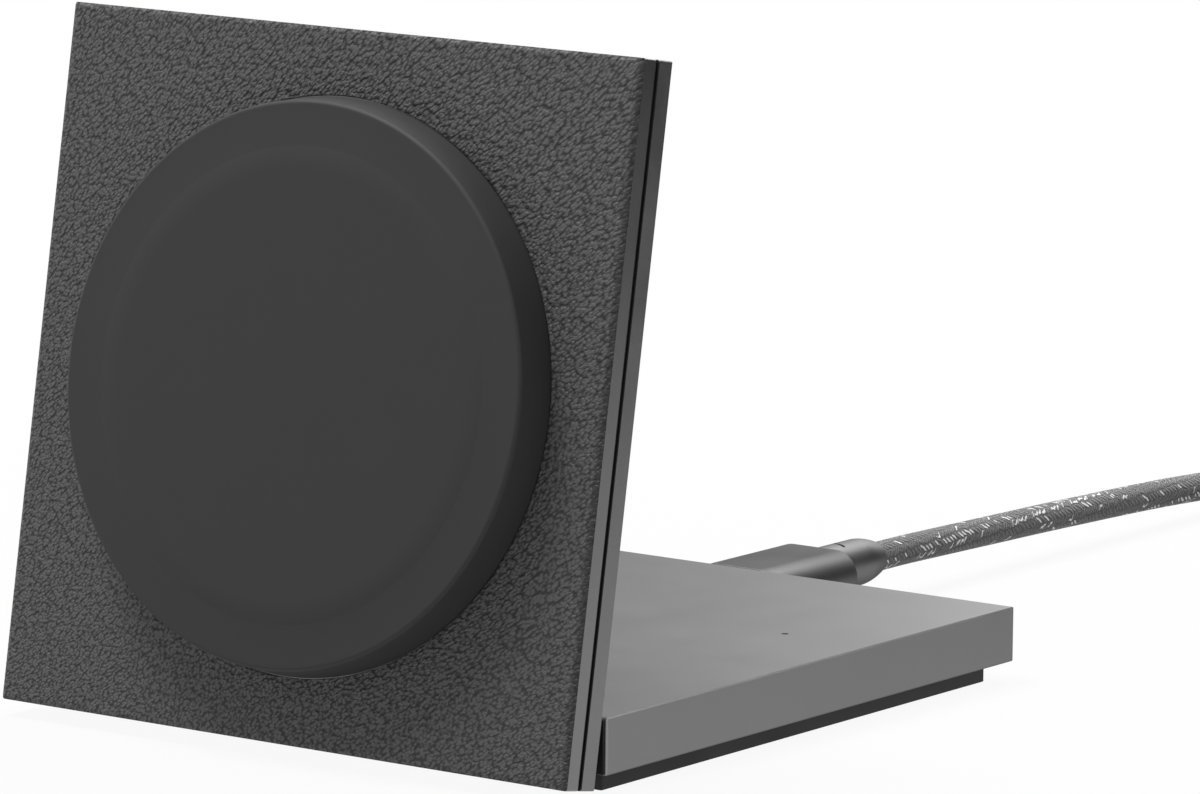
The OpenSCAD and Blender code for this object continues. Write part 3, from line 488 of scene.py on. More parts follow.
def puckProfile(radius, height, leatherThick):
    # from the middle of the face outwards, over the edge, down the side and back up the inside
    turn = np.linspace(0, math.pi / 2, puck["steps"])
    shoulder = height - puck["pillowRise"]
    sideRadius = radius - puck["taper"]
    # the pillow drops with the square of the way from its flat to the crease
    fall = np.linspace(0, 1, puck["steps"])
    slope = np.column_stack([
        puck["creaseRadius"] - puck["pillowSlope"] * (1 - fall), height - puck["pillowRise"] * fall**2])
    edge = np.column_stack([
        sideRadius - puck["edgeRound"] * (1 - np.sin(turn)),
        shoulder - puck["edgeRound"] * (1 - np.cos(turn))])
    bore = radius - puck["taper"] - puck["wall"]
    inner = height - puck["wall"]
    step = puck["creaseRadius"] - puck["pillowSlope"]
    rest = [
        (radius, leatherThick), (radius, 0), (bore, 0), (bore, inner - puck["pillowRise"]),
        (step, inner - puck["pillowRise"]), (step, inner), (0, inner)]
    flat = [(0, height), (puck["creaseRadius"] / 2, height)]
    return np.concatenate([flat, slope, edge, rest])


def makePuck():
    low, high = panelBox("puck_cover")
    leatherLow, leatherHigh = panelBox("leather_face")
    middle = (low + high) / 2
    profile = puckProfile((high[0] - low[0]) / 2, high[2] - low[2], leatherHigh[2] - leatherLow[2])
    angle = np.arange(puck["sides"]) * 2 * math.pi / puck["sides"]
    # the profile turned once about the puck's axis
    local = np.stack([
        middle[0] + profile[:, :1] * np.cos(angle), middle[1] + profile[:, :1] * np.sin(angle),
        low[2] + np.repeat(profile[:, 1:], puck["sides"], axis=1)], axis=-1)
    piece = gridPiece("puckCover", fromPanel(local), "panel", sharp=25)
    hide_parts("puck_cover")


makePuck()
print("puck made")


# materials
def linear(colour):
    # an sRGB hex colour as the linear values that the shader takes
    parts = [int(colour[i:i + 2], 16) / 255 for i in (1, 3, 5)]
    return [((p + 0.055) / 1.055) ** 2.4 if p > 0.04045 else p / 12.92 for p in parts] + [1.0]


def addNode(tree, kind, values=None, **settings):
    # one node with its settings; a value is a number or colour, or a socket to link from
    node = tree.nodes.new("ShaderNode" + kind)
    for key, value in settings.items():
        setattr(node, key, value)
    for key, value in (values or {}).items():
        if isinstance(value, bpy.types.NodeSocket):
            tree.links.new(value, node.inputs[key])
        else:
            node.inputs[key].default_value = value
    return node


def newFinish(name, look):
    finish = bpy.data.materials.new(name)
    finish.use_nodes = True
    tree = finish.node_tree
    shader = tree.nodes["Principled BSDF"]
    shader.inputs["Base Color"].default_value = linear(look["colour"])
    for key, socket in (
            ("metallic", "Metallic"), ("roughness", "Roughness"), ("ior", "IOR"),
            ("specular", "Specular IOR Level"), ("sheen", "Sheen Weight"),
            ("sheenRoughness", "Sheen Roughness"), ("transmission", "Transmission Weight")):
        if key in look:
            shader.inputs[socket].default_value = look[key]
    if "grazingTint" in look:
        shader.inputs["Specular Tint"].default_value = linear(look["grazingTint"])
    return finish, tree, shader


# what the grained finishes share; a look's grain and relief are in mm
grainLook = {
    "cloud": 40,  # grains across one slow cloud
    "low": 0.7, "high": 1.3,  # the sums of grain and cloud that get the first and the last tone
    "spread": 0.06,  # of the roughness, to both sides
}


def grainedFinish(name, look):
    # a fine grain under slow clouds: both shift colour and roughness, and the grain lifts the surface
    finish, tree, shader = newFinish(name, look)
    low, high, spread = grainLook["low"], grainLook["high"], look.get("spread", grainLook["spread"])
    place = addNode(tree, "TexCoord").outputs["Object"]
    grain = addNode(tree, "TexNoise", {
        "Vector": place, "Scale": 1000 / look["grain"], "Detail": 2.0, "Roughness": 0.6}).outputs["Fac"]
    cloud = addNode(tree, "TexNoise", {
        "Vector": place, "Scale": 1000 / (look["grain"] * grainLook["cloud"]), "Detail": 3.0}).outputs["Fac"]
    both = addNode(tree, "Math", {0: grain, 1: cloud}, operation="ADD").outputs[0]
    share = addNode(tree, "MapRange", {0: both, 1: low, 2: high}).outputs[0]
    tone = addNode(tree, "Mix", {0: share, 6: linear(look["colour"]), 7: linear(look["second"])},
                   data_type="RGBA").outputs[2]
    tree.links.new(tone, shader.inputs["Base Color"])
    rough = addNode(tree, "MapRange", {
        0: both, 1: low, 2: high, 3: look["roughness"] - spread, 4: look["roughness"] + spread}).outputs[0]
    tree.links.new(rough, shader.inputs["Roughness"])
    lifted = addNode(tree, "Bump", {"Height": grain, "Strength": 1.0, "Distance": look["relief"] * mm})
    tree.links.new(lifted.outputs["Normal"], shader.inputs["Normal"])
    return finish


# anodised aluminium, bead blasted: an even satin surface with a fine sparkle of pits
# (real pits are about 0.05 mm, drawn at 0.2 mm so that they show, as the finer grains below are)
blastedBase = {
    "colour": "#868686", "second": "#8a8a8a", "metallic": 1.0, "roughness": 0.4, "spread": 0.012,
    "grain": 0.2, "relief": 0.004, "grazingTint": "#969696"}
blastedPlate = {
    "colour": "#7d7d7d", "second": "#898989", "metallic": 1.0, "roughness": 0.42, "spread": 0.05,
    "grain": 0.22, "relief": 0.01, "grazingTint": "#c4c4c4"}
# metallic lacquer, sprayed on steel: aluminium flakes under a smooth skin, a soft dark shine
flakeLacquer = {
    "colour": "#7c7c7c", "second": "#828282", "metallic": 1.0, "roughness": 0.4, "spread": 0.03,
    "grain": 0.5, "relief": 0.002}
# pressed, ground and zinc plated steel and spring bronze: bare metal, from dull to bright
pressedSteel = {
    "colour": "#77797c", "second": "#85878a", "metallic": 1.0, "roughness": 0.38,
    "grain": 0.3, "relief": 0.004}
groundSteel = {
    "colour": "#c4c6c8", "second": "#d0d2d4", "metallic": 1.0, "roughness": 0.2,
    "grain": 0.15, "relief": 0.001}
zincPlate = {
    "colour": "#6d6f72", "second": "#8a8c90", "metallic": 1.0, "roughness": 0.36,
    "grain": 1.2, "relief": 0.003}
screwSteel = {
    "colour": "#9a9a9a", "second": "#a8a8a8", "metallic": 1.0, "roughness": 0.3,
    "grain": 0.2, "relief": 0.002}
springBronze = {
    "colour": "#b08d57", "second": "#c09a60", "metallic": 1.0, "roughness": 0.32,
    "grain": 0.2, "relief": 0.002}
# moulded ABS with a spark-eroded skin: matte, with no clear reflection
mouldedAbs = {
    "colour": "#0d0d0d", "second": "#131313", "roughness": 0.62, "ior": 1.53, "specular": 0.3,
    "grain": 0.25, "relief": 0.01}
# moulded epoxy, the components' bodies: plain and dull
componentEpoxy = {
    "colour": "#2a2a2c", "second": "#333335", "roughness": 0.5, "ior": 1.55,
    "grain": 0.15, "relief": 0.005}
# moulded silicone rubber: very dark, broad dull shine
siliconeRubber = {
    "colour": "#2c2c2c", "second": "#343434", "roughness": 0.6, "ior": 1.41,
    "grain": 0.3, "relief": 0.006}
# soft-touch lacquer on polycarbonate: flat and velvety, a faint glow at grazing angles
softTouch = {
    "colour": "#393939", "second": "#3b3b3b", "roughness": 0.62, "spread": 0.03, "ior": 1.45,
    "specular": 0.25, "grain": 0.12, "relief": 0.002}
# nickel plate shines, sintered ferrite and silicone sleeves are dull, the filled thermal pad is chalky
nickelPlate = {
    "colour": "#b4b6b8", "second": "#c0c2c4", "metallic": 1.0, "roughness": 0.15,
    "grain": 0.4, "relief": 0.001}
sinteredFerrite = {
    "colour": "#3a3533", "second": "#453f3c", "roughness": 0.6, "ior": 1.6,
    "grain": 0.2, "relief": 0.01}
wireSleeve = {
    "colour": "#202022", "second": "#29292b", "roughness": 0.5, "ior": 1.52,
    "grain": 0.4, "relief": 0.004}
thermalPad = {
    "colour": "#8f97a3", "second": "#9aa2ae", "roughness": 0.8, "ior": 1.42,
    "grain": 0.3, "relief": 0.02}
# anodised aluminium, satin brushed: a long soft highlight runs along the plug's shoulder
satinPlug = {
    "colour": "#707070", "second": "#757575", "metallic": 1.0, "roughness": 0.46, "spread": 0.03,
    "grain": 0.16, "relief": 0.002, "grazingTint": "#7c7c7c"}
# the collar behind it is the same metal, turned, with its colour set a little lighter: a lit copy of the plug's
# metal, painted light
collarLitCopy = dict(satinPlug, colour="#7d7d7d", second="#828282", grazingTint="#858585")
# nickel plated steel tube: bright, a little softened
platedTube = {
    "colour": "#b9babc", "second": "#c6c7c9", "metallic": 1.0, "roughness": 0.25,
    "grain": 0.2, "relief": 0.001}
# polycarbonate light pipe, with a haze that makes it now clearer, now duller
lightPipe = {
    "colour": "#d8dadc", "roughness": 0.2, "ior": 1.58, "transmission": 0.9,
    "haze": 1 / 3, "clear": 0.15, "dull": 0.3}  # haze in mm


def lightPipeFinish():
    finish, tree, shader = newFinish("polycarbonateLightPipe", lightPipe)
    place = addNode(tree, "TexCoord").outputs["Object"]
    haze = addNode(tree, "TexNoise", {"Vector": place, "Scale": 1000 / lightPipe["haze"]}).outputs["Fac"]
    rough = addNode(tree, "MapRange", {0: haze, 3: lightPipe["clear"], 4: lightPipe["dull"]}).outputs[0]
    tree.links.new(rough, shader.inputs["Roughness"])
    return finish


# solder-masked glass epoxy: copper tracks stand up a little under the green
circuitBoard = {
    "colour": "#1f5a3c", "track": "#2b7350", "roughness": 0.35, "ior": 1.52,
    "unit": 4.8, "trackWidth": 0.03,  # mm that four rows of tracks take, and a track's share of it
    "strength": 0.6, "relief": 0.03}


def circuitBoardFinish():
    look = circuitBoard
    finish, tree, shader = newFinish("circuitBoard", look)
    place = addNode(tree, "TexCoord").outputs["Object"]
    tracks = addNode(tree, "TexBrick", {
        "Vector": place, "Scale": 1000 / look["unit"], "Mortar Size": look["trackWidth"],
        "Color1": (0, 0, 0, 1), "Color2": (0.3, 0.3, 0.3, 1), "Mortar": (1, 1, 1, 1)}).outputs["Color"]
    tone = addNode(tree, "Mix", {0: tracks, 6: linear(look["colour"]), 7: linear(look["track"])},
                   data_type="RGBA").outputs[2]
    tree.links.new(tone, shader.inputs["Base Color"])
    lifted = addNode(tree, "Bump", {
        "Height": tracks, "Strength": look["strength"], "Distance": look["relief"] * mm})
    tree.links.new(lifted.outputs["Normal"], shader.inputs["Normal"])
    return finish


# enamelled litz wire wound flat: close rings of copper with dark gaps between the turns
litzCoil = {
    "colour": "#b06a3a", "gap": "#4a2612", "metallic": 0.9, "roughness": 0.38,
    "wire": 1.1,  # mm from one turn to the next
    "gapEnd": -0.2,  # the height of the wave, from -1 to 1, where the gap has ended
    "strength": 0.8, "relief": 0.15}


def litzCoilFinish():
    look = litzCoil
    finish, tree, shader = newFinish("woundLitzCopper", look)
    place = addNode(tree, "TexCoord").outputs["Object"]
    middle = boxOf("charging_coil")[2]
    centred = addNode(tree, "VectorMath", {0: place, 1: middle}, operation="SUBTRACT").outputs[0]
    radius = addNode(tree, "VectorMath", {0: centred}, operation="LENGTH").outputs["Value"]
    turn = addNode(tree, "Math", {0: radius, 1: 2 * math.pi / (look["wire"] * mm)}, operation="MULTIPLY")
    wave = addNode(tree, "Math", {0: turn.outputs[0]}, operation="SINE").outputs[0]
    share = addNode(tree, "MapRange", {0: wave, 1: -1.0, 2: look["gapEnd"]}).outputs[0]
    tone = addNode(tree, "Mix", {0: share, 6: linear(look["gap"]), 7: linear(look["colour"])},
                   data_type="RGBA").outputs[2]
    tree.links.new(tone, shader.inputs["Base Color"])
    lifted = addNode(tree, "Bump", {
        "Height": wave, "Strength": look["strength"], "Distance": look["relief"] * mm})
    tree.links.new(lifted.outputs["Normal"], shader.inputs["Normal"])
    return finish


# corrected-grain leather, embossed and sprayed: long pebbles pressed together, gathered in
# slanting groups by longer creases, finer at the lower left and coarser at the upper right
leatherLook = {
    # the crease colour is painted shade in the hollows, and the lighter top colour is painted light on the
    # pebbles' crowns
    "colour": "#4c4c4c", "crease": "#2a2a2a", "top": "#595959",
    "roughness": 0.48, "creaseRoughness": 0.7, "ior": 1.5, "specular": 0.5, "relief": 0.118,
    # mm across a pebble, a small pebble, a wrinkle and a group of pebbles
    "pebble": 0.34, "smallPebble": 0.17, "wrinkle": 0.2, "group": 1.2,
    # how much each of them counts in the height, and how softly the pebbles meet
    "pebbleDepth": 1.7, "smallDepth": 0.32, "wrinkleDepth": 0.8, "groupDepth": 0.36,
    "pebbleBlend": 0.5, "smallBlend": 0.3,
    "groupCrease": 0.16,  # width of the valley between groups, as a share of one
    "slant": 41, "stretch": 1.5, "groupStretch": 2.1,  # the folds' turn in degrees, and their length
    "drift": 1.6, "wander": 0.16,  # slow waves per mm that push the pattern about, and how far in mm
    "growth": 0.14, "growthEnd": 76.0,  # the size changes by this share at the corners, x + y mm away
    "lowTone": -0.15, "highTone": 0.6,  # heights that get the crease's and the top's colour
    # painted shade at the right side, where the rolled edge turns from the light: its start and full strength, in
    # mm from the middle
    "edgeStart": 36.9, "edgeFull": 37.75, "edgeShade": 0.12,
}


def leatherFinish():
    look = leatherLook
    finish, tree, shader = newFinish("pebbledLeather", look)
    flat = addNode(tree, "TexCoord").outputs["UV"]  # in mm across and up the panel
    # distances shrink towards the upper right, so the same pattern comes out coarser there
    parts = addNode(tree, "SeparateXYZ", {0: flat})
    rise = addNode(tree, "Math", {0: parts.outputs[0], 1: parts.outputs[1]}, operation="ADD").outputs[0]
    shrink = addNode(tree, "MapRange", {
        0: rise, 1: -look["growthEnd"], 2: look["growthEnd"],
        3: 1 + look["growth"], 4: 1 - look["growth"]}).outputs[0]
    place = addNode(tree, "VectorMath", {0: flat, "Scale": shrink}, operation="SCALE").outputs[0]
    drift = addNode(tree, "TexNoise", {
        "Vector": place, "Scale": look["drift"], "Detail": 1.0}).outputs["Color"]
    drift = addNode(tree, "VectorMath", {0: drift, 1: (0.5, 0.5, 0.5)}, operation="SUBTRACT").outputs[0]
    drift = addNode(tree, "VectorMath", {0: drift, "Scale": look["wander"]}, operation="SCALE").outputs[0]
    place = addNode(tree, "VectorMath", {0: place, 1: drift}, operation="ADD").outputs[0]
    # turned so that the first coordinate runs along the folds, and drawn out along it
    turned = (0, 0, math.radians(look["slant"]))
    slanted = addNode(tree, "Mapping", {
        "Vector": place, "Rotation": turned, "Scale": (look["stretch"], 1, 1)},
        vector_type="TEXTURE").outputs[0]
    grouped = addNode(tree, "Mapping", {
        "Vector": place, "Rotation": turned, "Scale": (look["groupStretch"], 1, 1)},
        vector_type="TEXTURE").outputs[0]
    # a pebble falls away from its middle with the square of the distance
    pebble = addNode(tree, "TexVoronoi", {
        "Vector": slanted, "Scale": 1 / look["pebble"],
        "Smoothness": look["pebbleBlend"], "Randomness": 1.0},
        feature="SMOOTH_F1", voronoi_dimensions="2D").outputs["Distance"]
    pebble = addNode(tree, "Math", {0: pebble, 1: pebble}, operation="MULTIPLY").outputs[0]
    small = addNode(tree, "TexVoronoi", {
        "Vector": slanted, "Scale": 1 / look["smallPebble"],
        "Smoothness": look["smallBlend"], "Randomness": 1.0},
        feature="SMOOTH_F1", voronoi_dimensions="2D").outputs["Distance"]
    # the groups' creases are narrow valleys along the borders of large stretched cells
    border = addNode(tree, "TexVoronoi", {
        "Vector": grouped, "Scale": 1 / look["group"], "Randomness": 1.0},
        feature="DISTANCE_TO_EDGE", voronoi_dimensions="2D").outputs["Distance"]
    valley = addNode(tree, "MapRange", {0: border, 1: 0.0, 2: look["groupCrease"]},
                     interpolation_type="SMOOTHSTEP").outputs[0]
    valley = addNode(tree, "Math", {0: valley, 1: look["groupDepth"]}, operation="MULTIPLY").outputs[0]
    # height is groupDepth x valley - pebbleDepth x pebble - smallDepth x small + wrinkleDepth x wrinkle
    dome = addNode(tree, "Math", {0: pebble, 1: -look["pebbleDepth"], 2: valley},
                   operation="MULTIPLY_ADD").outputs[0]
    grained = addNode(tree, "Math", {0: small, 1: -look["smallDepth"], 2: dome},
                      operation="MULTIPLY_ADD").outputs[0]
    wrinkle = addNode(tree, "TexNoise", {
        "Vector": slanted, "Scale": 1 / look["wrinkle"], "Detail": 1.0}).outputs["Fac"]
    height = addNode(tree, "Math", {0: wrinkle, 1: look["wrinkleDepth"], 2: grained},
                     operation="MULTIPLY_ADD").outputs[0]
    # painted shade and painted light: with the height, the colour goes from the crease's, dark in the hollows, to
    # the top's, light on the crowns
    top = addNode(tree, "MapRange", {0: height, 1: look["lowTone"], 2: look["highTone"]}).outputs[0]
    tone = addNode(tree, "Mix", {0: top, 6: linear(look["crease"]), 7: linear(look["top"])},
                   data_type="RGBA").outputs[2]
    # painted shade: the colour is darkened where the sheet rolls over at its right side, the side turned from the
    # light
    paintedShadeMask = addNode(tree, "MapRange", {
        0: parts.outputs[0], 1: look["edgeStart"], 2: look["edgeFull"],
        3: 1.0, 4: look["edgeShade"]}, interpolation_type="SMOOTHSTEP").outputs[0]
    tone = addNode(tree, "VectorMath", {0: tone, "Scale": paintedShadeMask}, operation="SCALE").outputs[0]
    tree.links.new(tone, shader.inputs["Base Color"])
    rough = addNode(tree, "MapRange", {0: top, 3: look["creaseRoughness"], 4: look["roughness"]}).outputs[0]
    tree.links.new(rough, shader.inputs["Roughness"])
    lifted = addNode(tree, "Bump", {"Height": height, "Strength": 1.0, "Distance": look["relief"] * mm})
    tree.links.new(lifted.outputs["Normal"], shader.inputs["Normal"])
    return finish


# knitted polyester jacket: columns of V-shaped stitches in dark and grey yarn, turning slowly
# round the lead, darker where the strands sink as painted shade; a bright filament lies on the strands of every
# third column
knitLook = {
    "colour": "#4c4c4c", "dark": "#222222", "yarn": "#5a5a5a", "fleck": "#dadada",
    "roughness": 0.78, "ior": 1.5, "sheen": 0.3, "sheenRoughness": 0.5,
    "columns": 6, "twist": 0.007,  # turns round the lead per mm along it
    "stitch": 0.74, "slant": 2.4, "thread": 0.12,  # mm along a stitch and across a thread
    "threadLength": 5.0,  # threads across a column's width
    "brightColumns": 3.0,  # every third column is a bright one
    "brightShare": 0.5, "strayShare": 0.05,  # shares of strands with a filament there and elsewhere
    "sway": 1.1, "swayAround": 0.5, "swayAlong": 2.2,  # slow waves per mm, and how far they push
    "edgeLow": 0.52, "edgeHigh": 0.36,  # from a column's middle: the leg's outer side
    "seamLow": -0.04, "seamHigh": 0.1,  # and its inner side
    "filamentLow": 0.66, "filamentHigh": 0.92,  # heights where a filament starts and is full
    "paintedHollowShade": 0.35, "lowTone": 0.3, "highTone": 0.95, "relief": 0.09,
}


def knitFinish():
    look = knitLook
    finish, tree, shader = newFinish("knittedPolyester", look)
    place = addNode(tree, "TexCoord").outputs["UV"]  # mm along the lead, share of a turn round it
    sway = addNode(tree, "TexNoise", {"Vector": place, "Scale": look["sway"], "Detail": 1.0}).outputs["Fac"]
    sway = addNode(tree, "Math", {0: sway, 1: 0.5}, operation="SUBTRACT").outputs[0]
    parts = addNode(tree, "SeparateXYZ", {0: place})
    about = addNode(tree, "Math", {0: parts.outputs[0], 1: look["twist"], 2: parts.outputs[1]},
                    operation="MULTIPLY_ADD").outputs[0]
    about = addNode(tree, "Math", {0: about, 1: look["columns"]}, operation="MULTIPLY").outputs[0]
    about = addNode(tree, "Math", {0: sway, 1: look["swayAround"], 2: about},
                    operation="MULTIPLY_ADD").outputs[0]
    column = addNode(tree, "Math", {0: about}, operation="FLOOR").outputs[0]
    within = addNode(tree, "Math", {0: about}, operation="FRACT").outputs[0]
    centred = addNode(tree, "Math", {0: within, 1: 0.5}, operation="SUBTRACT").outputs[0]
    leg = addNode(tree, "Math", {0: centred}, operation="ABSOLUTE").outputs[0]
    side = addNode(tree, "Math", {0: centred, 1: 0.0}, operation="GREATER_THAN").outputs[0]
    # stitches step along the lead, and each leg of the V slants away from the column's middle
    run = addNode(tree, "Math", {0: parts.outputs[0], 1: 1 / look["stitch"]}, operation="MULTIPLY").outputs[0]
    run = addNode(tree, "Math", {0: sway, 1: look["swayAlong"], 2: run}, operation="MULTIPLY_ADD").outputs[0]
    shifted = addNode(tree, "Math", {0: leg, 1: look["slant"], 2: run}, operation="MULTIPLY_ADD").outputs[0]
    stitch = addNode(tree, "Math", {0: shifted}, operation="FLOOR").outputs[0]
    strand = addNode(tree, "Math", {0: shifted}, operation="FRACT").outputs[0]
    arc = addNode(tree, "Math", {0: strand, 1: math.pi}, operation="MULTIPLY").outputs[0]
    strandTop = addNode(tree, "Math", {0: arc}, operation="SINE").outputs[0]
    # the legs sink where two columns meet and along the middle of each column
    edge = addNode(tree, "MapRange", {
        0: leg, 1: look["edgeLow"], 2: look["edgeHigh"]}, interpolation_type="SMOOTHSTEP").outputs[0]
    middle = addNode(tree, "MapRange", {
        0: leg, 1: look["seamLow"], 2: look["seamHigh"]}, interpolation_type="SMOOTHSTEP").outputs[0]
    span = addNode(tree, "Math", {0: edge, 1: middle}, operation="MULTIPLY").outputs[0]
    height = addNode(tree, "Math", {0: strandTop, 1: span}, operation="MULTIPLY").outputs[0]
    # chance picks the strands that carry a bright filament, mostly in every third column
    key = addNode(tree, "CombineXYZ", {0: stitch, 1: column, 2: side}).outputs[0]
    chance = addNode(tree, "TexWhiteNoise", {"Vector": key}).outputs["Value"]
    third = addNode(tree, "Math", {0: column, 1: look["brightColumns"]},
                    operation="FLOORED_MODULO").outputs[0]
    third = addNode(tree, "Math", {0: third, 1: 0.5}, operation="LESS_THAN").outputs[0]
    odds = addNode(tree, "MapRange", {0: third, 3: look["strayShare"], 4: look["brightShare"]}).outputs[0]
    picked = addNode(tree, "Math", {0: chance, 1: odds}, operation="LESS_THAN").outputs[0]
    filament = addNode(tree, "MapRange", {
        0: height, 1: look["filamentLow"], 2: look["filamentHigh"]}).outputs[0]
    bright = addNode(tree, "Math", {0: picked, 1: filament}, operation="MULTIPLY").outputs[0]
    # the fine threads of the yarn run along each leg
    onLeg = addNode(tree, "CombineXYZ", {0: shifted, 1: about}).outputs[0]
    onLeg = addNode(tree, "VectorMath", {
        0: onLeg, 1: (look["stitch"] / look["thread"], look["threadLength"], 1.0)},
        operation="MULTIPLY").outputs[0]
    threads = addNode(tree, "TexNoise", {"Vector": onLeg, "Scale": 1.0, "Detail": 1.0}).outputs["Fac"]
    # painted shade: the tone falls with the strands' height and is darkest where they sink; the threads' own dark
    # and grey are mixed in
    shade = addNode(tree, "Math", {0: height, 1: look["paintedHollowShade"], 2: threads},
                    operation="MULTIPLY_ADD").outputs[0]
    shade = addNode(tree, "MapRange", {0: shade, 1: look["lowTone"], 2: look["highTone"]}).outputs[0]
    cloth = addNode(tree, "Mix", {0: shade, 6: linear(look["dark"]), 7: linear(look["yarn"])},
                    data_type="RGBA").outputs[2]
    tone = addNode(tree, "Mix", {0: bright, 6: cloth, 7: linear(look["fleck"])}, data_type="RGBA").outputs[2]
    tree.links.new(tone, shader.inputs["Base Color"])
    lifted = addNode(tree, "Bump", {"Height": height, "Strength": 1.0, "Distance": look["relief"] * mm})
    tree.links.new(lifted.outputs["Normal"], shader.inputs["Normal"])
    return finish


# woven nylon tape: a plain weave of threads 0.5 mm apart
tapeLook = {
    "colour": "#202020", "second": "#343434", "roughness": 0.85, "sheen": 0.3, "thread": 0.5,
    "strength": 0.7, "relief": 0.08}


def tapeFinish():
    look = tapeLook
    finish, tree, shader = newFinish("wovenNylonTape", look)
    place = addNode(tree, "TexCoord").outputs["Object"]
    weave = addNode(tree, "TexChecker", {
        "Vector": place, "Scale": 1000 / look["thread"], "Color1": linear(look["colour"]),
        "Color2": linear(look["second"])})
    tree.links.new(weave.outputs["Color"], shader.inputs["Base Color"])
    lifted = addNode(tree, "Bump", {
        "Height": weave.outputs["Fac"], "Strength": look["strength"], "Distance": look["relief"] * mm})
    tree.links.new(lifted.outputs["Normal"], shader.inputs["Normal"])
    return finish


finishes = {
    "base_metal": grainedFinish("beadBlastedAluminium", blastedBase),
    "plate_metal": grainedFinish("beadBlastedDarkAluminium", blastedPlate),
    "hinge_steel": grainedFinish("pressedSteel", pressedSteel),
    "pin_steel": grainedFinish("groundSteel", groundSteel),
    "ballast_steel": grainedFinish("zincPlatedSteel", zincPlate),
    "screw_steel": grainedFinish("screwSteel", screwSteel),
    "washer_bronze": grainedFinish("springBronze", springBronze),
    "black_plastic": grainedFinish("mouldedBlackAbs", mouldedAbs),
    "board_laminate": circuitBoardFinish(),
    "chip_plastic": grainedFinish("componentEpoxy", componentEpoxy),
    "clear_plastic": lightPipeFinish(),
    "foot_rubber": grainedFinish("mouldedSiliconeRubber", siliconeRubber),
    "soft_touch": grainedFinish("softTouchLacquer", softTouch),
    "face_leather": leatherFinish(),
    "front_plate_paint": grainedFinish("metallicLacquer", flakeLacquer),
    "magnet_nickel": grainedFinish("nickelPlate", nickelPlate),
    "ferrite": grainedFinish("sinteredFerrite", sinteredFerrite),
    "coil_copper": litzCoilFinish(),
    "wire_sleeve": grainedFinish("siliconeWireSleeve", wireSleeve),
    "thermal_putty": grainedFinish("thermalPad", thermalPad),
    "plug_metal": grainedFinish("satinAnodisedAluminium", satinPlug),
    "collar_metal": grainedFinish("turnedAnodisedAluminiumLitCopy", collarLitCopy),
    "plug_tube_steel": grainedFinish("platedSteelTube", platedTube),
    "lead_knit": knitFinish(),
    "strap_fabric": tapeFinish(),
}


def dress(piece, finish):
    if piece.material_slots:
        for materialSlot in piece.material_slots:
            materialSlot.material = finish
    else:
        piece.data.materials.append(finish)


for part in frame["record"]["subparts"]:
    dress(frame["nodes"][part["node"]], finishes[part["material_slot"]])
newPieces = {
    "knittedLead": "lead_knit", "coilStrap": "strap_fabric", "plugBody": "plug_metal",
    "farPlugBody": "plug_metal", "plugCollar": "collar_metal", "farPlugCollar": "collar_metal",
    "footPad": "foot_rubber", "seamFrame": "black_plastic", "leatherFace": "face_leather",
    "puckCover": "soft_touch"}
for name, slotName in newPieces.items():
    dress(bpy.data.objects[name], finishes[slotName])
print("materials set")

# studio: white floor and backdrop, a key and a top softbox over the stand, a wide and a high
# one behind it, a low one at its back, and a dark card at the back right for reflections alone
studio = {
    "floorHalf": 4.0,
    "floorDrop": 0.05 * mm,
    "floorColour": "#bcbcbc",
    "fadeStart": 0.08,
    "fadeEnd": 0.35,
    "fadeNear": 0.93,  # how much of the floor near the object is plain white
    "ambient": 0.26,
    "lamps": {
        "keySoftbox": {
            "place": (-0.27, -0.18, 0.91), "size": 0.4, "power": 9.2, "aim": (0, -0.03, 0.035)},
        "topSoftbox": {
            "place": (0.05, 0.28, 0.6), "size": 0.3, "power": 2.2, "aim": (0, 0, 0.03)},
        "wideSoftbox": {
            "place": (-0.14, 0.53, 0.23), "size": 0.4, "power": 0.85, "aim": (0, 0, 0.01)},
        "backSoftbox": {
            "place": (-0.07, 0.31, 0.09), "size": 0.15, "power": 0.16, "aim": (0.038, 0.038, 0.008)},
        "highSoftbox": {
            "place": (0.10, 0.50, 0.36), "size": 0.26, "power": 0.14, "aim": (0.02, 0.04, 0.01)},
    },
    "cardMiddle": (0.175, 0.185, 0.10),
    "cardHalf": (0.18, 0.10),
    "cardColour": "#1c1c1c",
}


def whitePath(tree):
    # 1 for rays from the camera and reflected or passed-through ones, 0 for the light itself
    path = addNode(tree, "LightPath")
    seen = addNode(tree, "Math", {0: path.outputs["Is Camera Ray"], 1: path.outputs["Is Glossy Ray"]},
                   operation="MAXIMUM").outputs[0]
    return addNode(tree, "Math", {0: seen, 1: path.outputs["Is Transmission Ray"]},
                   operation="MAXIMUM").outputs[0]


def addWorld():
    world = bpy.data.worlds.new("studioWorld")
    bpy.context.scene.world = world
    world.use_nodes = True
    tree = world.node_tree
    tree.nodes.clear()
    strength = addNode(tree, "MapRange", {0: whitePath(tree), 3: studio["ambient"], 4: 1.0}).outputs[0]
    sky = addNode(tree, "Background", {"Color": (1, 1, 1, 1), "Strength": strength}).outputs[0]
    addNode(tree, "OutputWorld", {"Surface": sky})


corners = ((-1, -1), (1, -1), (1, 1), (-1, 1))


def addSheet(name, points):
    mesh = bpy.data.meshes.new(name)
    mesh.from_pydata([tuple(point) for point in points], [], [[0, 1, 2, 3]])
    return addObject(name, mesh)


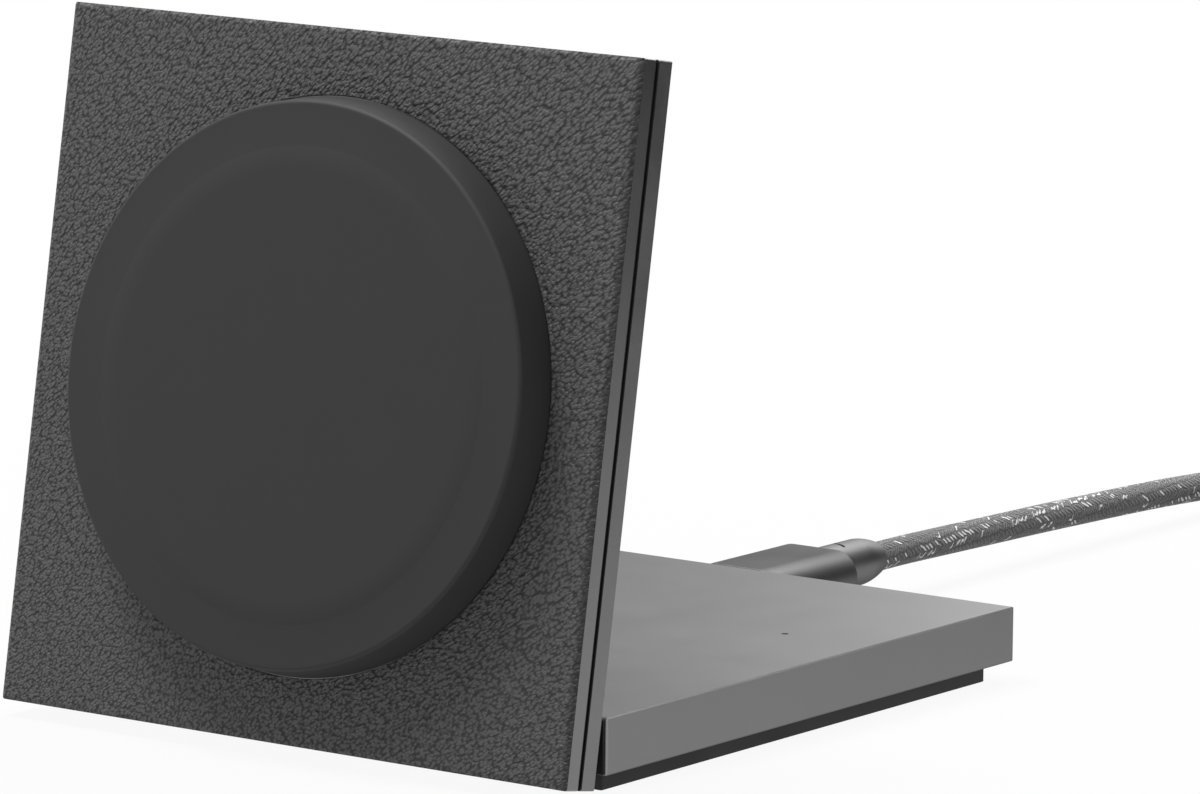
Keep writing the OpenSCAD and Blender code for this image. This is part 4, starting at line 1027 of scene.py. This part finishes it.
def addFloor():
    half = studio["floorHalf"]
    floor = addSheet("studioFloor", [(a * half, b * half, -studio["floorDrop"]) for a, b in corners])
    paint = bpy.data.materials.new("paleStudioFloor")
    paint.use_nodes = True
    tree = paint.node_tree
    tree.nodes.clear()
    place = addNode(tree, "TexCoord").outputs["Object"]
    away = addNode(tree, "VectorMath", {0: place}, operation="LENGTH").outputs["Value"]
    fade = addNode(tree, "MapRange", {
        0: away, 1: studio["fadeStart"], 2: studio["fadeEnd"], 3: studio["fadeNear"], 4: 1.0},
        interpolation_type="SMOOTHSTEP").outputs[0]
    share = addNode(tree, "Math", {0: fade, 1: whitePath(tree)}, operation="MULTIPLY").outputs[0]
    matte = addNode(tree, "BsdfDiffuse", {"Color": linear(studio["floorColour"])}).outputs[0]
    glow = addNode(tree, "Emission", {"Color": (1, 1, 1, 1), "Strength": 1.0}).outputs[0]
    mixed = addNode(tree, "MixShader", {0: share, 1: matte, 2: glow}).outputs[0]
    addNode(tree, "OutputMaterial", {"Surface": mixed})
    dress(floor, paint)


def addLamp(name, lamp):
    data = bpy.data.lights.new(name, "AREA")
    data.shape = "DISK"
    data.size = lamp["size"]
    data.energy = lamp["power"]
    softbox = addObject(name, data)
    aim = Vector(lamp["aim"]) - Vector(lamp["place"])
    softbox.matrix_world = (
        Matrix.Translation(lamp["place"]) @ aim.to_track_quat("-Z", "Y").to_matrix().to_4x4())
    softbox.visible_camera = False


def addCard():
    # an upright card that faces the object, seen by reflections alone
    middle = Vector(studio["cardMiddle"])
    sideways = Vector((-middle.y, middle.x, 0)).normalized() * studio["cardHalf"][0]
    upwards = Vector((0, 0, studio["cardHalf"][1]))
    card = addSheet("darkCard", [middle + a * sideways + b * upwards for a, b in corners])
    card.visible_camera = False
    card.visible_diffuse = False
    card.visible_shadow = False
    felt = newFinish("blackFeltCard", {
        "colour": studio["cardColour"], "roughness": 1.0, "specular": 0.0})[0]
    dress(card, felt)


addWorld()
addFloor()
addCard()
for lampName, lampLook in studio["lamps"].items():
    addLamp(lampName, lampLook)
bpy.context.scene.view_settings.view_transform = "Standard"
print("studio set")
